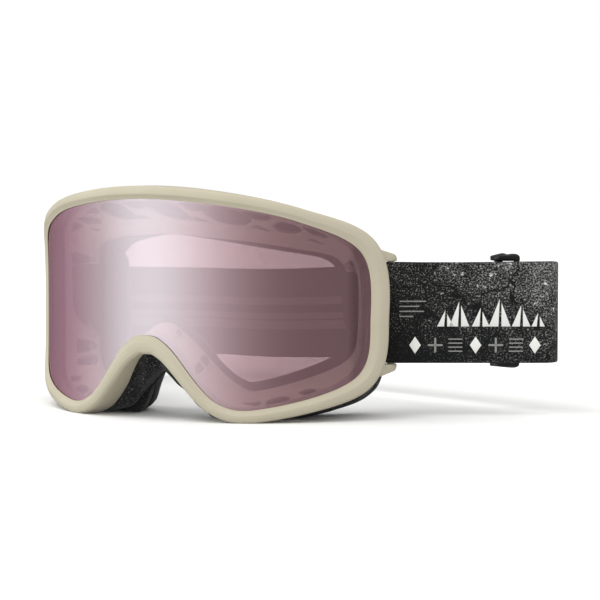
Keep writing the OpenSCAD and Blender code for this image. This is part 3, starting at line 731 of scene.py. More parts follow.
ROSE_DYE = (0.561, 0.49, 0.504, 1)
RIM_TPU = moulded_tpu("moulded_tpu_beige", "#c0b8a3", "#bbb39d", 0.46)
# the chassis is the rim's beige TPU, painted lighter: painted light for what reaches the inside of
# the frame through the lens
CHASSIS_TPU_PAINTED_LIGHTER = moulded_tpu("moulded_tpu_chassis_painted_lighter", "#dcd7cb", "#d7d1c4", 0.5)
MIRROR_LENS = mirrored_polycarbonate()
DYED_LENS = clear_sheet("dyed_polycarbonate", ROSE_DYE, 0.0)
CLEAR_LENS = clear_sheet("clear_propionate", (0.955, 0.945, 0.95, 1), 0.02)
GASKET_FOAM = closed_cell_foam()
# the vent foam is black foam painted darker than the face foams: painted shade for the channel
# behind the lattice windows
VENT_FOAM_PAINTED_DARKER = open_cell_foam("cut_vent_foam", "#0d0d0e", "#222223", 0.7)
FIRM_FOAM = open_cell_foam("cut_firm_foam", "#131314", "#29292a", 0.6)
SOFT_FOAM = open_cell_foam("cut_soft_foam", "#161617", "#2c2c2d", 0.6)
FLEECE = brushed_fleece()
PIN_STEEL = drawn_steel()
PLAIN_WEBBING = woven_elastic()
PRINTED_WEBBING = printed_elastic()
SILICONE = even_plastic("printed_silicone", "#8d8a8b", 0.42, 0.4)
SLIDER_ACETAL = even_plastic("moulded_acetal", "#161617", 0.36, 0.4)
PRINT_INK = even_plastic("screen_printed_ink", "#e9e8e4", 0.6, 0.5, 0.03)
GREY_INK = even_plastic("screen_printed_grey_ink", "#8e8d89", 0.65, 0.5, 0.03)
THREAD = even_plastic("spun_polyester_thread", "#3b3b3c", 0.8, 0.3, 0.05)


# ---------------------------------------------------------------- rim, lenses and chassis

AROUND = np.linspace(0, KNOTS, 576, endpoint=False)
COARSE_AROUND = AROUND[::2]


def front_rim():
    """Band along the lens's edge. Its section is a lip over the lens, a bevel up to a soft ridge
    at a third of the width, a crown down to the outer edge, and the wall behind, which is deeper
    beside the nose and shallower over it."""
    side = np.abs(lens_point(AROUND, 0, 0)[:, 0])
    w = rim_width(AROUND) + 0.7 * (side / side.max()) ** 14
    v = from_brow(AROUND)
    back = RIM_DEPTH + RIM_DEEPER * hump(v, BESIDE_NOSE_K, 0.4)
    back = back - RIM_SHALLOWER * hump(v, OVER_NOSE_K, 0.6)
    profile = [  # share of the width, mm beyond that, and depth
        (0, -0.4, -0.3),
        (0, -0.4, -0.55),
        (0.05, 0, -0.75),
        (0.34, 0, -1.95),
        (0.6, 0, -1.9),
        (0.84, 0, -1.5),
        (0.96, 0, -0.7),
        (1, 0, 0.4),
        (1, 0, back - 0.5),
        (1, -0.5, back),
        (0, LENS_WALL, back),
        (0, LENS_WALL, -0.3),
    ]
    section = [lens_point(AROUND, share * w + beyond, d) for share, beyond, d in profile]
    return ring(grounded(rounded(np.stack(section), 120, 0.3)))


def link_block(centre, r0, r1, low, high, edge, count=64):
    """Upright block round two circles and their tangents. The first circle is at the origin. In
    each direction the outline takes the point of whichever circle reaches further. Top and bottom
    are heights worked out at each point, and their edges are quarter rounds."""
    turn = np.linspace(0, 2 * np.pi, count, endpoint=False)
    way = np.column_stack([np.cos(turn), np.sin(turn)])
    first = (way @ centre + r1 < r0)[:, None]
    shape = np.where(first, r0 * way, centre + r1 * way)
    middle = shape.mean(0)
    half = [(middle + (shape - way * edge - middle) * k, 0) for k in (0, 0.35, 0.7)]
    half += [
        (shape - way * edge * (1 - np.sin(t)), edge * (1 - np.cos(t)))
        for t in np.radians([0, 30, 60, 90])
    ]
    rows = [np.column_stack([p, low(p) + rise]) for p, rise in half]
    rows += [np.column_stack([p, high(p) - rise]) for p, rise in half[::-1]]
    return dome(np.stack(rows))


def level(z):
    """A height that is the same at every point."""
    return lambda p: np.full(len(p), float(z))


def rim_ears():
    """The two hinge ears: blocks from the back of the rim to the pins."""
    root = lens_point(4.0, LENS_WALL + 1.2, RIM_DEPTH - 1.5)
    low, high = level(STRAP_Z - EAR_H / 2), level(STRAP_Z + EAR_H / 2)
    verts, faces, uv = link_block(root[:2] - (PIN_X, PIN_Y), BARREL_R, 1.0, low, high, 0.4)
    verts = verts + (PIN_X, PIN_Y, 0)
    return joined([(verts * (side, 1, 1), faces, uv) for side in (1, -1)])


def lens_shell(front_d, thick):
    """Trimmed piece of the cylinder: rings shrink from the edge to the middle of the lens, at
    front and back. The middle is high enough to see the whole edge."""
    middle = np.array([0, LENS_LOW + 0.62 * LENS_H])
    edge = outline(LENS_KNOTS, COARSE_AROUND, LENS_LAP)
    flat = middle + (edge - middle) * np.linspace(0, 1, 36)[:, None, None]
    front = place(flat, np.full(flat.shape[:2], front_d))
    back = place(flat[::-1], np.full(flat.shape[:2], front_d + thick))
    return dome(np.concatenate([front, back]))


def coat_front(lens):
    """Gives the outer lens's front faces, which look away from the cylinder's axis, the mirror."""
    lens.data.materials.append(MIRROR_LENS)
    normals, centres = (np.zeros(len(lens.data.polygons) * 3) for _ in range(2))
    lens.data.polygons.foreach_get("normal", normals)
    lens.data.polygons.foreach_get("center", centres)
    outward = centres.reshape(-1, 3) - (0, LENS_R * MM, 0)
    outward[:, 2] = 0
    turned_out = (normals.reshape(-1, 3) * outward).sum(1)
    facing = turned_out > 0.5 * np.linalg.norm(outward, axis=1)
    lens.data.polygons.foreach_set("material_index", facing.astype(np.int32))


def lens_gasket():
    """Foam tape between the lenses, with slightly rounded edges."""
    front, back = OUTER_LENS_T + GLUE, OUTER_LENS_T + LENS_GAP - GLUE
    outer = LENS_LAP - 0.4
    inner = outer - GASKET_W
    corners = ((inner, front), (inner, back), (outer, back), (outer, front))
    section = [lens_point(COARSE_AROUND, n, d) for n, d in corners]
    return ring(rounded(np.stack(section), 24, 0.7))


def wall_point(u, w):
    """Point of the lattice wall's front: w from the lens's edge to the eye opening."""
    a = lens_point(u % KNOTS, WALL_START, CHASSIS_D)
    b = eye_point(u % KNOTS, 0, 0)
    return a + (b - a) * w[..., None]


def chassis_shell():
    """Closed band: wall from the lens to the eye opening, its edge, the face flange behind it and
    the channel between the two, from front to back and round again."""
    u = COARSE_AROUND
    rows = [lens_point(u, WALL_START, CHASSIS_D)]
    rows += [wall_point(u, np.full(len(u), w)) for w in (0.25, 0.5, 0.75, 0.96)]
    rows += [
        eye_point(u, 0.06, 0.25),
        eye_point(u, 0, 0.8),
        eye_point(u, 0, 2 * WALL_T - 0.3),
        eye_point(u, 0.3, 2 * WALL_T),
        lens_point(u, FLANGE_OUT, FLANGE_D),
        lens_point(u, FLANGE_OUT, FLANGE_D - WALL_T),
        eye_point(u, CHANNEL_IN, WALL_T),
        lens_point(u, WALL_START, CHASSIS_D + WALL_T),
        lens_point(u, LENS_LAP, CHASSIS_D + WALL_T),
        lens_point(u, LENS_LAP, CHASSIS_D),
    ]
    return ring(np.stack(rows))


def cut_corners(loop, shares):
    """Closed flat outline with its corners cut again and again, each time by the next share of
    every side."""
    for share in shares:
        after = np.roll(loop, -1, 0)
        loop = np.stack([loop + (after - loop) * share, after + (loop - after) * share], 1)
        loop = loop.reshape(-1, 2)
    return loop


def plug(front, back):
    """Cutter between two like loops of points, closed by a pole in the middle of each."""
    ends = [np.tile(loop.mean(0), (len(loop), 1)) for loop in (front, back)]
    return dome(np.stack([ends[0], front, back, ends[1]]))


def window(corners):
    """Cutter for one window of the lattice: its corners, as u and w, are cut down to a smooth
    leaf outline, which is pushed through the wall along the wall's normal and widens to the back
    with a moulding's draft."""
    loop = np.array(corners, float)
    middle = loop.mean(0)
    loop = cut_corners(middle + (loop - middle) * WINDOW_SCALE, (0.16, 0.22, 0.25))
    face = wall_point(*loop.T)
    near = wall_point(*(loop.mean(0) + 0.03 * np.array([[1, 0], [-1, 0], [0, 1], [0, -1]])).T)
    out = np.cross(near[0] - near[1], near[2] - near[3])
    out *= np.sign(out[1]) / np.linalg.norm(out)
    away = face - face.mean(0)
    away /= np.linalg.norm(away, axis=1, keepdims=True)
    return plug(*(face + out * d + away * WINDOW_DRAFT * d for d in (-1.5, 2.5 * WALL_T)))


def brow_cell(u, lean):
    """One pitch of the brow: a leaf that leans, and the small windows above and below its tip.
    The last leaf, towards the wearer's left, is smaller."""
    leaf = np.array(
        [
            (-0.33, -0.02 - 0.16 * lean),
            (-0.16, -0.24 - 0.05 * lean),
            (0.14, -0.23 + 0.04 * lean),
            (0.34, -0.02 + 0.17 * lean),
            (0.19, 0.21 + 0.05 * lean),
            (-0.15, 0.21 - 0.14 * lean),
        ]
    )
    return [
        window((u, 0.29) + leaf * (0.66 if lean < -0.5 else 1)),
        window([(u + 0.2, 0.05), (u + 0.64, 0.05), (u + 0.57, 0.22), (u + 0.37, 0.26)]),
        window([(u + 0.3, 0.55), (u + 0.4, 0.41), (u + 0.65, 0.55)]),
    ]


def lattice_windows():
    """All windows of the wall: leaves over the brow, a fan at the wearer's right corner, and
    slots round the rest."""
    cutters = []
    for k in range(-1, 3):
        cutters += brow_cell(0.13 + k * LEAF_PITCH, min(1, 1 - 0.9 * k))
    cutters += [
        window([(-1.16, 0.24), (-1.14, 0.04), (-1.56, 0.08)]),
        window([(-1.28, 0.53), (-1.28, 0.34), (-1.88, 0.1), (-1.74, 0.36)]),
        window([(-1.66, 0.68), (-1.42, 0.66), (-1.84, 0.48)]),
        window([(-1.9, 0.38), (-2.04, 0.12), (-2.54, 0.19)]),
    ]
    side = [
        [(3.1, 0.96), (3.08, 0.25), (3.34, 0.28), (3.2, 0.96)],
        [(5.42, 0.05), (5.48, 0.34), (5.6, 0.33), (5.56, 0.05)],
        [(5.7, 0.03), (5.76, 0.34), (5.95, 0.31), (6, 0.03)],
        [(6.12, 0.03), (6.06, 0.3), (6.5, 0.33)],
        [(7.47, 0.06), (7.5, 1.15), (7.64, 1.15), (7.57, 0.06)],
        [(8.12, 0.38), (8.26, 1.15), (8.46, 1.15), (8.24, 0.36)],
    ]
    for turn in (1, -1):
        cutters += [window([(turn * u, w) for u, w in corners]) for corners in side]
    cutters += [
        window([(-4.66, 0.4), (-4.86, 0.98), (-5.04, 0.98), (-4.96, 0.4)]),
        window([(-5.1, 0.4), (-5.16, 0.98), (-5.4, 0.95), (-5.24, 0.4)]),
    ]
    return cutters


def temple_cut(side):
    """Cutter for the room beside a temple: a block with rounded corners, from front to back."""
    start, cut_x = EYE_HALF - 5, EYE_HALF + 0.48 * (HALF_W - EYE_HALF)
    low, high = LENS_LOW + 0.24 * LENS_H, LENS_LOW + 0.64 * LENS_H
    corners = [
        (start, low),
        (EYE_HALF + 1, low),
        (cut_x, low + 0.12 * LENS_H),
        (cut_x, high - 0.02 * LENS_H),
        (cut_x - 1, high),
        (start, high),
    ]
    loop = cut_corners(np.array(corners), (0.22, 0.25, 0.25)) * (side, 1)
    return plug(*(np.insert(loop, 1, y, axis=1) for y in (2, 88)))


def chassis():
    """The chassis band with its windows and temple rooms cut out, and crisp edges there."""
    # the chassis's lighter colour is painted light for the inside of the frame
    body = build("chassis_moulding", chassis_shell(), CHASSIS_TPU_PAINTED_LIGHTER)
    cutter = build("chassis_cutter", joined(lattice_windows()), CHASSIS_TPU_PAINTED_LIGHTER)
    rooms = build("chassis_rooms", joined([temple_cut(1), temple_cut(-1)]), CHASSIS_TPU_PAINTED_LIGHTER)
    for tool in (cutter, rooms):
        cut = body.modifiers.new("cut", "BOOLEAN")
        cut.object, cut.operation, cut.solver = tool, "DIFFERENCE", "EXACT"
        cut.use_self = tool is cutter
    graph = bpy.context.evaluated_depsgraph_get()
    shape = bpy.data.meshes.new_from_object(body.evaluated_get(graph))
    body.modifiers.clear()
    body.data = shape
    shape.shade_smooth()
    shape.set_sharp_from_angle(angle=np.radians(38))
    for tool in (cutter, rooms):
        bpy.data.objects.remove(tool)
    return body


# ---------------------------------------------------------------- foams


def stirred(points, seed, spread, wave):
    """Profile rings of cut foam, drawn in a little and moved in and out by wave mm, as a hand-fed
    blade leaves them, and kept off the ground."""
    away = points - points.mean(0, keepdims=True)
    away /= np.linalg.norm(away, axis=-1, keepdims=True)
    moved = ripple(points.shape[:2], seed, spread) * wave - CUT_SHRINK
    return grounded(points + away * moved[..., None])


def face_foam():
    """Three layers on the flange. The soft one bulges between the glue lines; the fleece is a
    thin rounded mat on it."""
    u = COARSE_AROUND
    base_back = GLUE + BASE_FOAM_T
    soft = base_back + GLUE
    soft_back = soft + SOFT_FOAM_T
    fleece = soft_back + GLUE
    low, middle, high = (soft + k * SOFT_FOAM_T for k in (0.22, 0.5, 0.8))
    firm_section = [
        lens_point(u, FLANGE_OUT, FLANGE_D + GLUE),
        eye_point(u, 0, 2 * WALL_T + GLUE),
        foam_eye_point(u, 0, GLUE),
        foam_eye_point(u, 0.1, base_back),
        foam_point(u, 0.25, base_back),
        foam_point(u, 0, GLUE),
    ]
    inside = [(0.2, soft), (-0.1, low), (-0.2, middle), (0, high), (0.5, soft_back)]
    outside = [(0.8, soft_back), (0.1, high), (-0.2, middle), (0, low), (0.2, soft)]
    soft_section = [foam_eye_point(u, inset, d) for inset, d in inside]
    soft_section += [foam_point(u, inset, d) for inset, d in outside]
    mat_section = [
        foam_eye_point(u, 0.3, fleece),
        foam_eye_point(u, 0.7, fleece + FLEECE_T),
        foam_point(u, 1.2, fleece + FLEECE_T),
        foam_point(u, 0.6, fleece),
    ]
    for name, section, material, seed, blur, wave, slot, node in (
        ("face_foam_firm", firm_section, FIRM_FOAM, 3, 0.5, 0.05, "face_foam", "foam_base"),
        ("face_foam_soft", soft_section, SOFT_FOAM, 5, 0.7, 0.06, "soft_foam", "foam_soft"),
        ("face_fleece", mat_section, FLEECE, 8, 0.9, 0.1, "fleece", "foam_fleece"),
    ):
        points = stirred(rounded(np.stack(section), 44, blur), seed, 3, wave)
        piece = build(name, ring(points), material, CLOTH_EDGE)
        dress(piece, [node])


def glued(a, b):
    """Points on the way from a to b, clear of the glue at a."""
    return a + (b - a) / np.linalg.norm(b - a, axis=-1, keepdims=True) * 3 * GLUE


def vent_foam(name, start, end, seed):
    """Strip of open-cell foam in the channel between the lattice wall and the flange, with
    rounded long edges and slightly waving faces."""
    u = np.linspace(start, end, 200) % KNOTS
    v = from_brow(u)
    front, back = CHASSIS_D + WALL_T + 0.3, FLANGE_D - WALL_T
    lobe = hump(v, LOBE_K, 0.7)
    nose = hump(v, NOSE_K, 1.7)  # there the strip laps over the flange's edge
    over = hump(v, OVER_NOSE_K, 0.6)  # and its front follows the rim's shallower wall
    deep = eye_point(u, CHANNEL_IN, WALL_T)
    rim_side = lens_point(u, FLANGE_OUT, back)
    lens_side = lens_point(u, WALL_START, CHASSIS_D + WALL_T)
    edge = outline(FOAM_KNOTS, u, nose - 0.8 - 2.7 * lobe)
    section = [
        lens_point(u, 1.6, front),
        lens_point(u, rim_width(u) - 0.8, front - 4 * over),
        place(edge, front + 3.5 - 2 * over),
        place(edge, back - 2 + 5 * nose),
        glued(rim_side + (deep - rim_side) * 0.8, lens_side),
        glued(lens_side + (deep - lens_side) * 0.78, rim_side),
    ]
    points = stirred(rounded(np.stack(section), 40, 0.8), seed, 2, 0.05)
    # the strip's darker colour is painted shade in the channel behind the windows
    piece = build(name, tube(points.transpose(1, 0, 2)), VENT_FOAM_PAINTED_DARKER, CLOTH_EDGE)
    dress(piece, [name.replace("cut_", "")])


# ---------------------------------------------------------------- outriggers

TURN = np.radians(BAR_ANGLE)
BAR = np.array([PIN_X + ARM_L * np.cos(TURN), PIN_Y + ARM_L * np.sin(TURN)])
ARM_IN = STRAP_W / 2 + 0.4
ARM_OUT = ARM_IN + ARM_T


def arm_top(p):
    """Height of an arm's outer face above the strap's middle: near level at the hinge, sloping
    to a corner past the bar, with the corner cut off twice."""
    end = ARM_L + BOSS_R
    steps = [-ARM_L, 0.3, ARM_L + 0.7, end - 0.5, end + 1]
    heights = [ARM_OUT, ARM_OUT - 0.2, ARM_OUT - ARM_SLOPE, ARM_IN + 1.7, ARM_IN + 0.5]
    return np.interp(p[:, 0], steps, heights)


def post(centre, radius, low, high):
    """Upright round post with rounded ends: circles of a quarter turn at each end."""
    turn = np.linspace(0, 2 * np.pi, 48, endpoint=False)
    curve = np.radians([0, 45, 90])
    inset, rise = (ROUND_EDGE * (1 - f(curve)) for f in (np.sin, np.cos))
    r = radius - np.concatenate([[radius], inset, inset[::-1], [radius]])
    z = np.concatenate([[low], low + rise, high - rise[::-1], [high]])
    x, y = centre[0] + r[:, None] * np.cos(turn), centre[1] + r[:, None] * np.sin(turn)
    return dome(np.stack([x, y, np.broadcast_to(z[:, None], x.shape)], -1))


def outrigger(side):
    """Two arms with rounded edges, the strap bar between them and the hinge barrels, with a
    smaller bore seat showing at each arm's outer end."""
    pin = (PIN_X, PIN_Y, STRAP_Z)
    c, s = np.cos(TURN), np.sin(TURN)
    boss = BARREL_R + 0.3
    verts, faces, uv = link_block((ARM_L, 0), boss, BOSS_R, level(ARM_IN), arm_top, 0.55, 96)
    parts = [
        (verts @ np.array([[c, s, 0], [-s, c, 0], [0, 0, flip]]) + pin, faces, uv)
        for flip in (1, -1)
    ]
    reach, gap = ARM_IN + 1, EAR_H / 2 + 0.3
    parts.append(post(BAR, BAR_R, STRAP_Z - reach, STRAP_Z + reach))
    parts.append(post(pin, BARREL_R, STRAP_Z - reach, STRAP_Z - gap))
    parts.append(post(pin, BARREL_R, STRAP_Z + gap, STRAP_Z + reach))
    verts, faces, _ = joined(parts)
    return verts * (side, 1, 1), faces, None


# ---------------------------------------------------------------- strap

RUN, REAR = np.radians(RUN_HEADING), np.radians(REAR_HEADING)


def ahead(h):
    """Unit vector in plan along a heading."""
    return np.stack([np.cos(h), np.sin(h)], -1)


def outwards(h):
    """Unit vector in plan to the outside of the strap's loop."""
    return np.stack([np.sin(h), -np.cos(h)], -1)


START = BAR + LOOP_OFF * outwards(RUN)
FOLD_C = START + FRONT_RUN * ahead(RUN) - FOLD_R * outwards(RUN)
FOLD_END = FOLD_C + FOLD_R * outwards(REAR)
TURN_C = FOLD_END + REAR_RUN * ahead(REAR) - TURN_R * outwards(REAR)
LEFT_BAR = BAR * (-1, 1)
TO_TURN = TURN_C - LEFT_BAR
LEFT_RUN = (
    np.arctan2(TO_TURN[1], TO_TURN[0]) + np.pi + np.arcsin((TURN_R - LOOP_OFF) / np.hypot(*TO_TURN))
)
TURN_END = TURN_C + TURN_R * outwards(LEFT_RUN)
LEFT_AT = LEFT_BAR + LOOP_OFF * outwards(LEFT_RUN)

S_FOLD = FRONT_RUN
S_REAR = S_FOLD + FOLD_R * (REAR - RUN)
S_TURN = S_REAR + REAR_RUN
S_LAST = S_TURN + TURN_R * (LEFT_RUN - REAR)
S_END = S_LAST + np.hypot(*(LEFT_AT - TURN_END))
S_FREE = S_REAR + 0.3 * REAR_RUN
S_LOW = S_TURN + TURN_R / 3
SLIDER_S = S_REAR + SLIDER_AT
JOIN_S = S_REAR + 5


def bearing(s):
    """Heading at s along the strap: constant on the lines, even change on the bends."""
    return np.interp(s, [0, S_FOLD, S_REAR, S_TURN, S_LAST], [RUN, RUN, REAR, REAR, LEFT_RUN])


def route(s):
    """Point in plan at s: line, tight fold, line, wide turn, line."""
    s = np.asarray(s, float)[..., None]
    h = bearing(s[..., 0])
    legs = [
        START + s * ahead(RUN),
        FOLD_C + FOLD_R * outwards(h),
        FOLD_END + (s - S_REAR) * ahead(REAR),
        TURN_C + TURN_R * outwards(h),
    ]
    ends = [s < S_FOLD, s < S_REAR, s < S_TURN, s < S_LAST]
    ends = [np.broadcast_to(end, legs[0].shape) for end in ends]
    return np.select(ends, legs, TURN_END + (s - S_LAST) * ahead(LEFT_RUN))


def ease(a, m, b, length, t):
    """Cubic from height a with slope m to height b, level there."""
    return (1 - smooth(t)) * a + (t**3 - 2 * t**2 + t) * length * m + smooth(t) * b


def sag(s):
    """How far the strap's middle is above its height at the outriggers."""
    s = np.asarray(s, float)
    first, last = S_LOW - S_FREE, S_END - S_LOW
    return np.select(
        [s <= S_REAR, s <= S_FREE, s <= S_LOW],
        [
            0 * s,
            -SLOPE * (s - S_REAR),
            ease(-SLOPE * (S_FREE - S_REAR), -SLOPE, -DROOP, first, (s - S_FREE) / first),
        ],
        ease(-DROOP, 0, 0, last, np.clip((s - S_LOW) / last, 0, 1) ** 1.6),
    )


def at_strap(s, b, z):
    """Point of space at s along the strap, b outwards from its middle and z above it."""
    s, b, z = np.broadcast_arrays(np.asarray(s, float), b, z)
    plan = route(s) + b[..., None] * outwards(bearing(s))
    return np.concatenate([plan, (STRAP_Z + sag(s) + z)[..., None]], -1)


def selvedge(width, thick):
    """Section of a woven strap as (b, z): rounded edges, and flat faces whose points begin 2.4
    from each edge. On the narrow silicone stripes those points pass each other."""
    h, r = width / 2, thick / 2
    t = np.linspace(0, np.pi, 13)
    top = np.column_stack([-r * np.cos(t), h - r + r * np.sin(t)])
    front = np.column_stack([np.full(7, r), np.linspace(h - 2.4, -h + 2.4, 7)])
    return np.concatenate([top, front, -top, -front])


def across_cloth(section):
    """The cloth's own coordinate across the strap for points of its section, in mm: height on
    the outer face, and past the top edge, so above 21, on the inner face."""
    return np.where(section[:, 0] >= 0, section[:, 1], STRAP_W + 4 - section[:, 1])


def webbing(stations, middle, width=STRAP_W, thick=STRAP_T, low=0.0):
    """Strap along stations of s: the section carried along the route, with the cloth's own
    coordinates in mm. Middle is a number or one offset per station."""
    section = selvedge(width, thick)
    s = np.asarray(stations, float)[:, None]
    b = np.broadcast_to(np.asarray(middle, float), s[:, 0].shape)[:, None] + section[:, 0]
    uv = np.stack(np.broadcast_arrays(s, across_cloth(section)), -1)
    return tube(at_strap(s, b, low + section[:, 1]), uv)


def spaced(a, b, coarse=4.0):
    """Stations from a to b: fine round the fold, coarse elsewhere."""
    marks = [a]
    while marks[-1] < b:
        near = S_FOLD - 2 <= marks[-1] <= S_REAR + 2
        marks.append(min(b, marks[-1] + (0.6 if near else coarse)))
    return np.array(marks)


def carried(x, y, side):
    """The strap's section along a flat curve, with its thickness along the curve's normal, out to
    the given side (1 or -1). Gives both flat coordinates, the section and the lengths along."""
    along = np.concatenate([[0], np.cumsum(np.hypot(np.diff(x), np.diff(y)))])
    dx, dy = np.gradient(x, along), np.gradient(y, along)
    norm = np.hypot(dx, dy)
    section = selvedge(STRAP_W, STRAP_T)
    thick = side * section[:, 0]
    px = x[:, None] - (dy / norm)[:, None] * thick
    py = y[:, None] + (dx / norm)[:, None] * thick
    return px, py, section, along[:, None]


def around_bar(at, mirror_x):
    """Strap layer from outside to inside round an outrigger's bar: a half circle whose middle
    line is a bar's radius, the loop's gap and half the strap from the bar, with straight stubs."""
    t = np.linspace(-np.pi / 2, -3 * np.pi / 2, 25)
    x = np.concatenate([[STUB, STUB / 2], LOOP_OFF * np.cos(t), [STUB / 2, STUB]])
    y = np.concatenate([[-LOOP_OFF] * 2, LOOP_OFF * np.sin(t), [LOOP_OFF] * 2])
    px, py, section, along = carried(x, y, 1)
    px = -px if mirror_x else px
    h = float(bearing(at))
    base = route(at) - LOOP_OFF * outwards(h)
    plan = base + px[..., None] * ahead(h) - py[..., None] * outwards(h)
    z = np.broadcast_to(STRAP_Z + sag(at) + section[:, 1], px.shape)
    run = at + (along - STUB if mirror_x else STUB - along)
    uv = np.stack(np.broadcast_arrays(run, across_cloth(section)), -1)
    return tube(np.concatenate([plan, z[..., None]], -1), uv)


def meeting(along, ply, join):
    """Distance of the inner layer from the outer one: the loop's width at the bar, easing to a
    ply's distance at join."""
    return 2 * LOOP_OFF + (ply - 2 * LOOP_OFF) * smooth(np.clip(along / join, 0, 1))


def prism(shape, base, height):
    """Flat shape raised by height: from the (s, z) points of its outline, given at the strap's
    outer face, as a closed piece with a slightly smaller top."""
    shape = np.array(shape, float)
    middle = shape.mean(0)
    top = middle + (shape - middle) * (1 - 0.06 / np.linalg.norm(shape - middle, axis=1).mean())
    rows = [(shape, base - 0.1), (shape, base + height * 0.6), (top, base + height)]
    points = np.stack([at_strap(p[:, 0], b, p[:, 1]) for p, b in rows])
    ends = [at_strap(middle[0], b, middle[1]) for b in (base - 0.1, base + height)]
    count = len(shape)
    ends = [np.tile(e, (count, 1)) for e in ends]
    return dome(np.concatenate([ends[:1], points, ends[1:]]))


def stroke(a, b, width):
    """Outline of a straight printed line with rounded ends."""
    a, b = np.array(a, float), np.array(b, float)
    h = np.arctan2(*(b - a)[::-1])
    turn = np.linspace(np.pi / 2, 3 * np.pi / 2, 6)
    start = a + width / 2 * ahead(h + turn)
    end = b + width / 2 * ahead(h + turn + np.pi)
    return np.concatenate([start, end])


def print_motifs():
    """The strap's printed ornament: a range of bold peaks along the middle, each split into a
    broad and a narrow face, with a row of small lozenges, crosses and bars below it. Each is a
    thin coat of ink on the webbing."""
    peaks = (  # place along the strap, height and width
        (21.5, 6.5, 6.6),
        (27.0, 10.0, 8.0),
        (35.5, 7.5, 7.0),
        (43.0, 11.0, 8.6),
        (51.5, 8.5, 7.4),
        (58.2, 5.5, 5.2),
    )
    foot, row = -5.4, -12.8  # heights of the peaks' foot and of the row's middle
    base, coat = STRAP_T / 2, 0.07
    bold, fine, lozenge, bars = [], [], [], []
    for s, tall, wide in peaks:
        peak = foot + tall
        bold.append([(s - wide / 2, foot), (s, peak), (s - 0.5, foot)])
        bold.append([(s + wide / 2, foot), (s + 0.7, foot), (s + 0.7, peak - 1.6)])
    for s, shapes in ((9.5, lozenge), (33.5, bold), (57.0, bold)):
        shapes.append([(s - 2.3, row), (s, row + 3.4), (s + 2.3, row), (s, row - 3.4)])
    for s in (17.5, 41.5):
        fine.append(stroke((s - 2.6, row), (s + 2.6, row), 0.8))
        fine.append(stroke((s, row - 2.6), (s, row + 2.6), 0.8))
    for s in (25.5, 49.5):
        for z in (-15.2, -13.6, -12.0, -10.4):
            fine.append(stroke((s - 2.6, z), (s + 2.6, z), 0.45))
    for z, reach in ((4.6, 13.6), (2.6, 11.0), (0.6, 12.8), (-1.4, 8.5)):
        cuts = np.linspace(3.5, reach, 9)  # short lengths, which bend with the webbing
        bars += [stroke((a, z), (b, z), 0.5) for a, b in zip(cuts[:-1], cuts[1:])]
    for name, shapes, ink, gives in (
        ("printed_peaks", bold, PRINT_INK, False),
        ("printed_marks", fine, GREY_INK, False),
        ("printed_near_lozenge", lozenge, PRINT_INK, True),
        ("printed_near_bars", bars, GREY_INK, True),
    ):
        piece = build(name, joined([prism(shape, base, coat) for shape in shapes]), ink, HARD_EDGE)
        if gives:  # on the stretch beside the outrigger, which bends as it swings; baked in place, not attached to the frame
            in_metres(STUB, 0)
            in_metres(END_L, 0)
            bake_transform(piece)
        else:
            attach(piece, "frame")


def stitch_rows(name, start, face, body):
    """Two lines of lock stitch across the strap, just past start: each stitch is a low oval lump
    of thread lying on the cloth's inner face."""
    turn = np.linspace(0, 2 * np.pi, 8, endpoint=False)
    wide, tall = STITCH_W / 2, STITCH_L / 2
    edge = STRAP_W / 2 - 3
    count = int(round(2 * edge / STITCH_PITCH))
    parts = []
    for s in (start + 0.9, start + 2.4):
        for z in -edge + 2 * edge * (np.arange(count) + 0.5) / count:
            rings = [
                at_strap(s + wide * k * np.cos(turn), face - up, z + tall * k * np.sin(turn))
                for up, k in ((-0.15, 1.0), (0.1, 0.85), (0.22, 0.4))
            ]
            ends = [np.tile(at_strap(s, face - up, z), (len(turn), 1)) for up in (-0.15, 0.26)]
            parts.append(dome(np.stack([ends[0], *rings, ends[1]])))
    piece = build(name, joined(parts), THREAD)
    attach(piece, body)


def in_metres(s, b):
    """Place on the strap's middle height as three plain numbers in metres."""
    return tuple(float(c) * MM for c in at_strap(s, b, 0))


